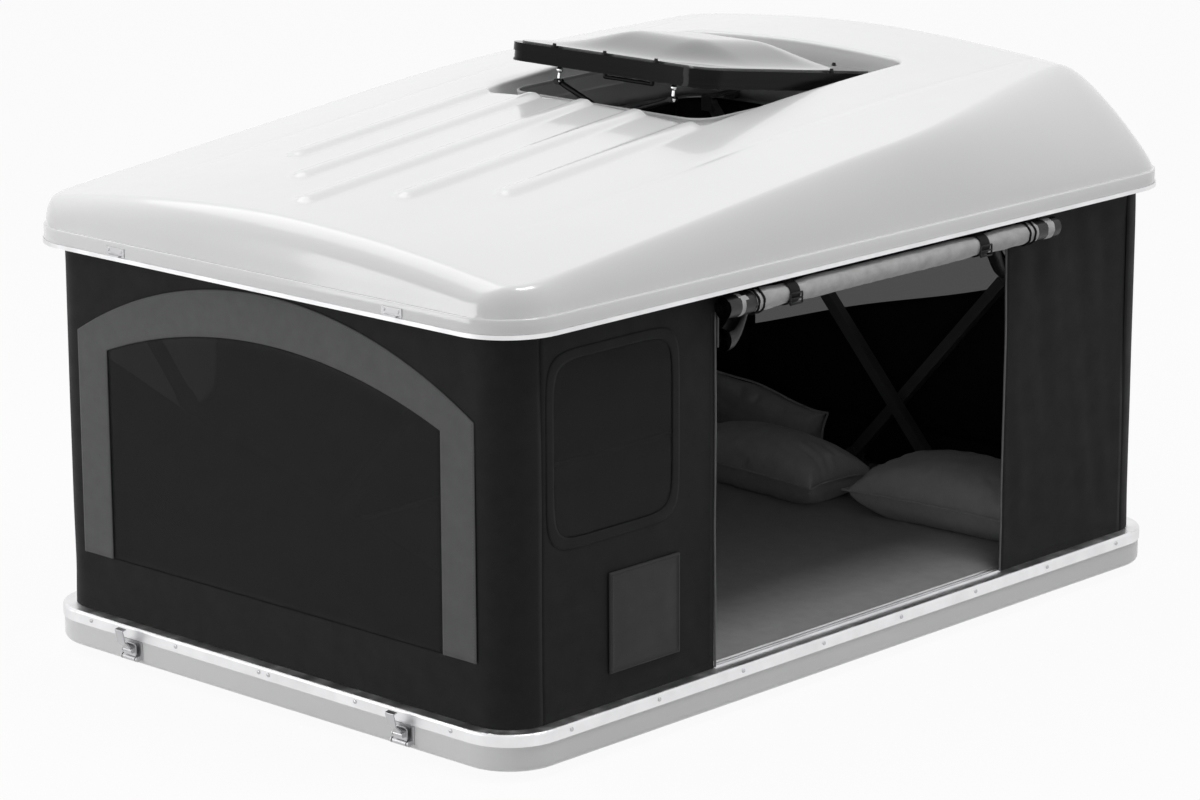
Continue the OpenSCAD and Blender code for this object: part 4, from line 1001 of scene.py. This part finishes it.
def runTree(name, carrier, tree, values, body):
    modifier = carrier.modifiers.new("tree", "NODES")
    modifier.node_group = tree
    for item in tree.interface.items_tree:
        if item.in_out == "INPUT" and item.name in values:
            modifier[item.identifier] = values[item.name]
    shown = carrier.evaluated_get(bpy.context.evaluated_depsgraph_get())
    mesh = bpy.data.meshes.new_from_object(shown)
    carrier.modifiers.remove(modifier)
    bpy.data.objects.remove(carrier)
    for poly in mesh.polygons:
        poly.use_smooth = True
    piece = addObject(name, mesh)
    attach(piece, body)
    return piece


stitchShape = {"Pitch": 0.0065, "Length": 0.0042, "Width": 0.0011, "Seed": 4}
stitchPlace = {"borderInsets": (0.06, 0.94), "borderOut": 0.0024, "pocketHem": 0.006, "pocketOut": 0.0062,
               "doorHem": 0.012, "doorOut": 0.0004, "doorLow": 0.12}


# threads of slightly different sizes along a path
def stitchTree(finish):
    tree, given = startTree("stitchRow", {"Path": "Geometry", "Pitch": "Float", "Length": "Float", "Width": "Float",
                                          "Seed": "Int"}, "Threads")
    curve = addNode(tree, "GeometryNodeMeshToCurve", {"Mesh": given["Path"]})
    spots = addNode(tree, "GeometryNodeResampleCurve", {"Curve": curve.outputs["Curve"], "Length": given["Pitch"]},
                    mode="LENGTH")
    thread = addNode(tree, "GeometryNodeMeshUVSphere", {"Segments": 6, "Rings": 4, "Radius": 0.5})
    size = addNode(tree, "ShaderNodeCombineXYZ", {0: given["Length"], 1: given["Width"], 2: given["Width"]})
    jitter = addNode(tree, "FunctionNodeRandomValue", {2: 0.85, 3: 1.1, "Seed": given["Seed"]}, data_type="FLOAT")
    scaled = addNode(tree, "ShaderNodeVectorMath", {0: size.outputs[0], "Scale": jitter.outputs[1]},
                     operation="SCALE")
    along = addNode(tree, "GeometryNodeInputTangent")
    turn = addNode(tree, "FunctionNodeAlignRotationToVector", {"Vector": along.outputs[0]}, axis="X")
    return endTree(tree, spots.outputs["Curve"], thread.outputs["Mesh"], turn.outputs["Rotation"], scaled.outputs[0],
                   finish)


def stitchPiece(name, paths, finish):
    points, edges = [], []
    for path in paths:
        start = len(points)
        points += [tuple(p) for p in path]
        edges += [(start + i, start + i + 1) for i in range(len(path) - 1)]
    mesh = bpy.data.meshes.new("paths")
    mesh.from_pydata(points, edges, [])
    threads = runTree(name, addObject("paths", mesh), stitchTree(finish), stitchShape, "base")
    softPieces.append(threads)


def buildStitches():
    s, p, q = wallShape, pocketShape, stitchPlace
    paths = []
    for rear in (False, True):
        place = onEnd(rear)
        paths += [[place(u, z, q["borderOut"])[0] for u, z in borderPath(inset)] for inset in q["borderInsets"]]
    stitchPiece("borderStitches", paths, threadGrey)
    loop = [(p["y"] + sx * (p["w"] / 2 - q["pocketHem"]), p["z"] + sz * (p["h"] / 2 - q["pocketHem"]))
            for sx, sz in ((-1, -1), (1, -1), (1, 1), (-1, 1), (-1, -1))]
    paths = [[(s["halfW"] + q["pocketOut"], mix(a[0], b[0], k / 20), mix(a[1], b[1], k / 20))
              for a, b in zip(loop, loop[1:]) for k in range(20)]]
    for y in (s["doorFront"] - q["doorHem"], s["doorRear"] + q["doorHem"]):
        paths.append([(s["halfW"] + q["doorOut"], y, z) for z in spread(q["doorLow"], s["doorTop"], 40)])
    stitchPiece("wallStitches", paths, threadDark)


buildStitches()
print("trim and stitches made")

rivetShape = {"Diameter": 0.0092, "Height": 0.0044}
rivetProud = 0.0004  # a dome's middle above the base of its CAD rivet


# a dome with its drawn-in stem on each spot, standing along the spot's outward direction
def rivetTree(finish):
    tree, given = startTree("rivetRow", {"Places": "Geometry", "Diameter": "Float", "Height": "Float"}, "Rivets")
    outward = addNode(tree, "GeometryNodeInputNamedAttribute", {"Name": "outward"}, data_type="FLOAT_VECTOR")
    turn = addNode(tree, "FunctionNodeAlignRotationToVector", {"Vector": outward.outputs[0]}, axis="Z")
    size = addNode(tree, "ShaderNodeCombineXYZ", {0: given["Diameter"], 1: given["Diameter"], 2: given["Height"]})
    dome = addNode(tree, "GeometryNodeMeshUVSphere", {"Segments": 16, "Rings": 8, "Radius": 0.5})
    stem = addNode(tree, "GeometryNodeMeshCylinder", {"Vertices": 10, "Radius": 0.13, "Depth": 1.25})
    both = addNode(tree, "GeometryNodeJoinGeometry", {0: dome.outputs["Mesh"]})
    setInputs(tree, both, {0: stem.outputs["Mesh"]})
    return endTree(tree, given["Places"], both.outputs[0], turn.outputs["Rotation"], size.outputs[0], finish)


# the separate bodies within a CAD node, as lists of points
def islandsOf(node, weld=1e-6):
    shape = bmesh.new()
    shape.from_mesh(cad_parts[node].data)
    bmesh.ops.remove_doubles(shape, verts=shape.verts, dist=weld)
    seen, islands = set(), []
    for vert in shape.verts:
        if vert in seen:
            continue
        stack, island = [vert], []
        seen.add(vert)
        while stack:
            v = stack.pop()
            island.append(v.co.copy())
            for edge in v.link_edges:
                w = edge.other_vert(v)
                if w not in seen:
                    seen.add(w)
                    stack.append(w)
        islands.append(island)
    shape.free()
    return islands


# one rivet on each rivet of the CAD's aluminium band
def buildRivets():
    places, outward = [], []
    for island in islandsOf("frame_rivets"):
        lo = Vector([min(p[i] for p in island) for i in range(3)])
        hi = Vector([max(p[i] for p in island) for i in range(3)])
        size, base = hi - lo, (lo + hi) / 2
        axis = min(range(3), key=lambda i: size[i])
        direction = Vector((0, 0, 0))
        direction[axis] = math.copysign(1.0, base[axis]) if axis < 2 else 1.0
        base[axis] = lo[axis] if direction[axis] > 0 else hi[axis]
        places.append(base + rivetProud * direction)
        outward.append(direction)
    mesh = bpy.data.meshes.new("rivetPlaces")
    mesh.from_pydata([tuple(p) for p in places], [], [])
    data = mesh.attributes.new("outward", "FLOAT_VECTOR", "POINT")
    for i, direction in enumerate(outward):
        data.data[i].vector = direction
    piece = runTree("bandRivets", addObject("rivetPlaces", mesh), rivetTree(latchSteel), rivetShape, "base")
    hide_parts("frame_rivets")
    print("rivets:", len(places))


buildRivets()


# bedding

bedShape = {"w": 1.332, "l": 2.032, "r": 0.072, "low": 0.0362, "high": 0.0995, "edge": 0.030, "sag": 0.014,
            "hollow": 0.0016, "dent": 0.0006, "pipe": 0.0032, "pipeIn": (0.9985, 0.999), "pipeUp": 0.001,
            "columns": 70, "rows": 100}


def buildMattress():
    s = bedShape
    top, base = [], []
    for j in range(s["rows"] + 1):
        y = s["l"] / 2 * crowd(j, s["rows"])
        half = s["w"] / 2 - cornerCut(s["r"], s["l"] / 2 - abs(y))
        for i in range(s["columns"] + 1):
            x = half * crowd(i, s["columns"])
            full = swell((half - abs(x)) / s["edge"], 2) * swell((s["l"] / 2 - abs(y)) / s["edge"], 2)
            soft = (s["hollow"] * full * (wobble(x * 3.1, y * 2.7, 2.0) - 0.35)
                    + s["dent"] * full * wobble(x * 11, y * 9, 5.0))
            top.append((x, y, s["high"] - s["sag"] * (1 - full) + min(0.0, soft)))
            base.append((x, y, s["low"]))
    faces, rim = padFaces(s["rows"] + 1, s["columns"] + 1)
    piece = makePiece("mattressPad", top + base, faces, [bedCloth], "base")
    faceOut(piece, sharpAt=60)
    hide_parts("mattress")
    inX, inY = s["pipeIn"]
    path = [(x * inX, y * inY, z + s["pipeUp"]) for x, y, z in [top[i] for i in rim]]
    pipe = makePiece("mattressPiping", *tube(path, s["pipe"], closed=True), [bedCloth], "base")


pillowShape = {
    "pillow_left": {"name": "pillowLeft", "at": (-0.330, 0.9215, 0.0998), "size": (0.390, 0.195, 0.080),
                    "stand": True, "turn": 0, "seed": 2.0},
    "pillow_middle": {"name": "pillowMiddle", "at": (-0.165, 0.705, 0.0998), "size": (0.505, 0.225, 0.148),
                      "stand": False, "turn": -4, "seed": 5.0},
    "pillow_right": {"name": "pillowRight", "at": (0.375, 0.775, 0.0998), "size": (0.510, 0.290, 0.155),
                     "stand": False, "turn": 3, "seed": 9.0},
}
pillowSewn = {"seamGap": 0.005, "seamAt": 0.4, "seamCord": 0.0026, "seamSpots": 160, "seamIn": 0.985, "drawnIn": 0.1,
              "cells": 40, "crown": 0.36, "underside": 1.5, "foldAbove": 0.42, "crease": 0.0026, "hollow": 0.0030,
              "dent": 0.0013, "droop": 0.24}
pillowSim = {"voxel": 0.006, "pressure": 4.0, "frames": 20, "cap": 0.007, "start": 0.965, "startHigh": 0.96}


# the free top corner of a standing pillow sinks
def sink(s, p, q):
    return (q + 1) / 2 * s["size"][1] * pillowSewn["droop"] * ease((p + 0.35) / 1.35) if s["stand"] else 0.0


# the sides draw in between the corners
def pillowSpot(w, l, p, q):
    drawn = pillowSewn["drawnIn"]
    return w / 2 * p * (1 - drawn * (1 - q * q)), l / 2 * q * (1 - drawn * (1 - p * p))


def pillowShell(w, l, h):
    n, seam, middle = pillowSewn["cells"], pillowSewn["seamGap"], pillowSewn["seamAt"] * h
    upper, lower = [], []
    for j in range(n + 1):
        for i in range(n + 1):
            p, q = crowd(i, n), crowd(j, n)
            full = ((1 - p * p) * (1 - q * q)) ** pillowSewn["crown"]
            x, y = pillowSpot(w, l, p, q)
            upper.append(Vector((x, y, middle + seam / 2 + (h - middle - seam) * full)))
            flat = min(1.0, pillowSewn["underside"] * full)
            lower.append(Vector((x, y, (middle - seam / 2) * (1 - flat))))
    return upper + lower, padFaces(n + 1, n + 1)[0]


def applied(piece):
    shown = piece.evaluated_get(bpy.context.evaluated_depsgraph_get())
    mesh = bpy.data.meshes.new_from_object(shown)
    old = piece.data
    piece.modifiers.clear()
    piece.data = mesh
    bpy.data.meshes.remove(old)


# fills the shell by cloth pressure, each point moving by no more than the cap
def puff(piece):
    s = pillowSim
    remesh = piece.modifiers.new("remesh", "REMESH")
    remesh.mode = "VOXEL"
    remesh.voxel_size = s["voxel"]
    applied(piece)
    before = [v.co.copy() for v in piece.data.vertices]
    cloth = piece.modifiers.new("cloth", "CLOTH")
    cloth.settings.quality = 5
    cloth.settings.mass = 0.15
    cloth.settings.use_pressure = True
    cloth.settings.uniform_pressure_force = s["pressure"]
    cloth.settings.effector_weights.gravity = 0.0
    cloth.point_cache.frame_end = s["frames"]
    scene = bpy.context.scene
    for k in range(1, s["frames"] + 1):
        scene.frame_set(k)
    shown = piece.evaluated_get(bpy.context.evaluated_depsgraph_get())
    moved = [v.co.copy() for v in shown.data.vertices]
    piece.modifiers.clear()
    scene.frame_set(1)
    for vert, old, new in zip(piece.data.vertices, before, moved):
        step = new - old
        if step.length > s["cap"]:
            step *= s["cap"] / step.length
        vert.co = old + step
    smoothing = piece.modifiers.new("smooth", "SMOOTH")
    smoothing.iterations = 3
    finer = piece.modifiers.new("finer", "SUBSURF")
    finer.levels = finer.render_levels = 1
    applied(piece)
    for poly in piece.data.polygons:
        poly.use_smooth = True


# creases drawn from the corners and the seam, and soft hollows
def pillowFold(p, q, seed):
    s, far = pillowSewn, max(abs(p), abs(q))
    near = ease((far - 0.35) / 0.6) * ease((1.02 - far) / 0.15)
    return (math.sin(17 * math.atan2(q, p) + 3 * wobble(p * 2, q * 2, seed)) * s["crease"] * near
            + (s["hollow"] * wobble(p * 2.3, q * 2.3, seed) + s["dent"] * wobble(p * 7, q * 5, seed + 3)))


def pillowSeam(s, place):
    w, l, h = s["size"]
    corners = [(-1, -1), (1, -1), (1, 1), (-1, 1), (-1, -1)]
    inset, perSide = pillowSewn["seamIn"], pillowSewn["seamSpots"] // 4
    path = []
    for a, b in zip(corners, corners[1:]):
        for k in range(perSide):
            p, q = mix(a[0], b[0], k / perSide), mix(a[1], b[1], k / perSide)
            x, y = pillowSpot(inset * w, inset * l, p, q)
            path.append(place @ Vector((x, y - sink(s, p, q), pillowSewn["seamAt"] * h)))
    return tube(path, pillowSewn["seamCord"], closed=True)


def buildPillows():
    for node, s in pillowShape.items():
        w, l, h = s["size"]
        start = pillowSim["start"]
        points, faces = pillowShell(w * start, l * start, h * pillowSim["startHigh"])
        piece = makePiece(s["name"], points, faces, [pillowCloth], None)
        faceOut(piece)
        puff(piece)
        piece.data.materials.clear()
        piece.data.materials.append(pillowCloth)
        turn = Matrix.Rotation(math.radians(s["turn"]), 4, "Z")
        if s["stand"]:
            turn = turn @ Matrix.Rotation(math.radians(90), 4, "X")
        place = Matrix.Translation(Vector(s["at"]) + Vector((0, 0, l / 2 if s["stand"] else 0))) @ turn
        for vert in piece.data.vertices:
            p, q = 2 * vert.co.x / w, 2 * vert.co.y / l
            if vert.co.z > pillowSewn["foldAbove"] * h:
                vert.co.z += pillowFold(p, q, s["seed"])
            vert.co.z = min(max(vert.co.z, 0.0), h)
            vert.co.y -= sink(s, p, q)
            vert.co = place @ vert.co
        cord = makePiece(s["name"] + "Seam", *pillowSeam(s, place), [pillowCloth], "base")
        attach(piece, "base")
        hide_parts(node)
        print("pillow made:", s["name"], len(piece.data.polygons), "faces")


buildMattress()
buildPillows()
print("bedding made")


# skylight hatch: domed pane and ball joints

hatchShape = {
    "w": 0.596, "l": 0.612, "r": 0.060, "top": 0.046, "crown": 0.044, "crownRun": 0.36, "pane": 0.004, "seat": 0.0002,
    "rim": 0.018, "cells": 60, "open": 9.0, "hingeY": 0.3175, "hingeZ": 0.022,
}
recessFrame = (Matrix.Translation((0, roofShape["recessY"], roofShape["recessZ"]))
               @ Matrix.Rotation(math.radians(roofShape["tilt"]), 4, "X"))
hinge = Matrix.Translation((0, hatchShape["hingeY"], hatchShape["hingeZ"]))
hatchFrame = recessFrame @ hinge @ Matrix.Rotation(math.radians(-hatchShape["open"]), 4, "X") @ hinge.inverted()


def buildPane():
    s = hatchShape
    w, l, r, n = s["w"] - 2 * s["rim"], s["l"] - 2 * s["rim"], s["r"] - s["rim"], s["cells"]
    points = []
    for lift in (s["pane"], s["seat"]):
        for j in range(n + 1):
            y = l / 2 * crowd(j, n)
            half = w / 2 - cornerCut(r, l / 2 - abs(y))
            for i in range(n + 1):
                x = half * crowd(i, n)
                rise = (s["crown"] * ease((half - abs(x)) / (s["crownRun"] * w))
                        * ease((l / 2 - abs(y)) / (s["crownRun"] * l)))
                points.append(hatchFrame @ Vector((x, y, s["top"] + rise + lift)))
    piece = makePiece("hatchDome", points, padFaces(n + 1, n + 1)[0], [paneSmoke], "hatch")
    faceOut(piece, sharpAt=55)
    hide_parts("hatch_pane")


jointShape = {
    "x": 0.169, "y": -0.253, "z": -0.030, "ball": 0.015, "stem": 0.0036, "tip": 0.0002, "second": 0.36, "neck": 0.5,
    "seatDeep": 0.004,
    "socket": ((0.0036, 0.462), (0.0074, 0.462), (0.0090, 0.50), (0.0090, 0.62), (0.0078, 0.64), (0.0078, 0.70),
               (0.0090, 0.72), (0.0090, 0.985), (0.0002, 0.998)),  # radius, and height as a share of the reach
}


def lathe(profile, place, sides=28):
    points = [place @ Vector((r * math.cos(2 * math.pi * k / sides), r * math.sin(2 * math.pi * k / sides), z))
              for r, z in profile for k in range(sides)]
    return points, [face[::-1] for face in gridFaces(len(profile), sides, closed=True)]


def buildBalls():
    s = jointShape
    reach = hatchShape["top"] - s["seatDeep"] - s["z"]
    r = s["ball"] / 2
    balls = []
    for middle in (0.0, s["second"] * reach):
        for angle in range(-90, 91, 15):
            a = math.radians(angle)
            least = s["stem"] if middle or angle > 0 else s["tip"]
            balls.append((max(r * math.cos(a), least), middle + r * math.sin(a)))
    balls.append((s["stem"], s["neck"] * reach))
    socket = [(radius, share * reach) for radius, share in s["socket"]]
    places = [hatchFrame @ Matrix.Translation((side * s["x"], s["y"], s["z"])) for side in (-1, 1)]
    piece = makePiece("stayBalls", *joined([lathe(balls, place) for place in places]), [ballChrome], "hatch")
    faceOut(piece)
    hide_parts("stay_balls")
    cups = makePiece("staySockets", *joined([lathe(socket, place) for place in places]), [blackPlastic], "hatch")
    faceOut(cups, sharpAt=40)


buildPane()
buildBalls()
print("skylight made")


# the soft pieces and the rolls each get a mesh of their own

for piece in softPieces:
    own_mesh(piece)
for piece in rolls:
    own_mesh(piece)


# studio

studio = {
    "keyLight": {"at": (-2.2, -0.8, 4.2), "aim": (0, 0, 0.9), "size": (3.0, 3.0), "power": 43.0},
    "frontLight": {"at": (-2.4, -5.2, 1.5), "aim": (0, 0, 0.4), "size": (2.6, 2.0), "power": 56.0},
    "sideLight": {"at": (1.95, -0.1, 4.3), "aim": (0.6, 0.0, 0.3), "size": (1.2, 1.0), "power": 54.0},
}
sky = {"level": 0.28, "above": 0.22, "right": 0.10, "least": 0.06}
paper = {"half": 30, "tone": 0.75, "glow": 0.94}
white = (1, 1, 1, 1)


def softLight(name, at, aim, size, power):
    light = bpy.data.lights.new(name, "AREA")
    light.shape = "RECTANGLE"
    light.size, light.size_y = size
    light.energy = power
    lamp = addObject(name, light)
    lamp.location = at
    lamp.rotation_euler = (Vector(aim) - Vector(at)).to_track_quat("-Z", "Y").to_euler()


# 1 for rays that show the backdrop itself, 0 for those that carry its light
def backdropFactor(tree):
    rays = addNode(tree, "ShaderNodeLightPath").outputs
    either = addNode(tree, "ShaderNodeMath", {0: rays["Is Camera Ray"], 1: rays["Is Glossy Ray"]},
                     operation="MAXIMUM")
    shown = addNode(tree, "ShaderNodeMath", {0: either.outputs[0], 1: rays["Is Transmission Ray"]},
                    operation="MAXIMUM")
    return shown.outputs[0]


# soft sky: brighter above, dimmer from the right
def buildSky():
    world = bpy.data.worlds.new("studio")
    bpy.context.scene.world = world
    tree = emptyTree(world)
    coords = addNode(tree, "ShaderNodeTexCoord")
    slope = addNode(tree, "ShaderNodeVectorMath", {0: coords.outputs["Generated"], 1: (-sky["right"], 0, sky["above"])},
                    operation="DOT_PRODUCT")
    level = addNode(tree, "ShaderNodeMath", {0: slope.outputs["Value"], 1: sky["level"]}, operation="ADD")
    strength = addNode(tree, "ShaderNodeMath", {0: level.outputs[0], 1: sky["least"]}, operation="MAXIMUM")
    light = addNode(tree, "ShaderNodeBackground", {"Color": white, "Strength": strength.outputs[0]})
    plain = addNode(tree, "ShaderNodeBackground", {"Color": white, "Strength": 1.0})
    choose = addNode(tree, "ShaderNodeMixShader", {0: backdropFactor(tree), 1: light.outputs[0], 2: plain.outputs[0]})
    addNode(tree, "ShaderNodeOutputWorld", {0: choose.outputs[0]})


def buildFloor():
    h = paper["half"]
    mesh = bpy.data.meshes.new("floor")
    mesh.from_pydata([(-h, -h, 0), (h, -h, 0), (h, h, 0), (-h, h, 0)], [], [(0, 1, 2, 3)])
    floor = addObject("floor", mesh)
    finish = bpy.data.materials.new("paper")
    tree = emptyTree(finish)
    matt = addNode(tree, "ShaderNodeBsdfDiffuse", {"Color": (*[paper["tone"]] * 3, 1)})
    glow = addNode(tree, "ShaderNodeEmission", {"Color": white, "Strength": 1.0})
    share = addNode(tree, "ShaderNodeMath", {0: backdropFactor(tree), 1: paper["glow"]}, operation="MULTIPLY")
    blend = addNode(tree, "ShaderNodeMixShader", {0: share.outputs[0], 1: matt.outputs[0], 2: glow.outputs[0]})
    addNode(tree, "ShaderNodeOutputMaterial", {0: blend.outputs[0]})
    mesh.materials.append(finish)


cameraShape = {"at": (6.1612, -6.5976, 2.7402), "azimuth": 43.27, "elevation": 14.13, "roll": -0.23,
               "focal": 4220.2, "imageW": 1200.0, "sensor": 36.0, "clipEnd": 100.0}


# the focal length is in pixels of the image's width
def buildCamera():
    s = cameraShape
    a, e, r = [math.radians(s[k]) for k in ("azimuth", "elevation", "roll")]
    ahead = Vector((-math.sin(a) * math.cos(e), math.cos(a) * math.cos(e), -math.sin(e)))
    right = Vector((math.cos(a), math.sin(a), 0))
    up = right.cross(ahead)
    across = right * math.cos(r) + up * math.sin(r)
    over = up * math.cos(r) - right * math.sin(r)
    lens = bpy.data.cameras.new("camera")
    lens.sensor_width = s["sensor"]
    lens.lens = s["focal"] * s["sensor"] / s["imageW"]
    lens.clip_end = s["clipEnd"]
    camera = addObject("camera", lens)
    camera.matrix_world = Matrix.Translation(s["at"]) @ Matrix((across, over, -ahead)).transposed().to_4x4()
    bpy.context.scene.camera = camera


buildSky()
buildFloor()
for name, values in studio.items():
    softLight(name, **values)
bpy.context.scene.view_settings.view_transform = "Standard"
buildCamera()
print("studio made")
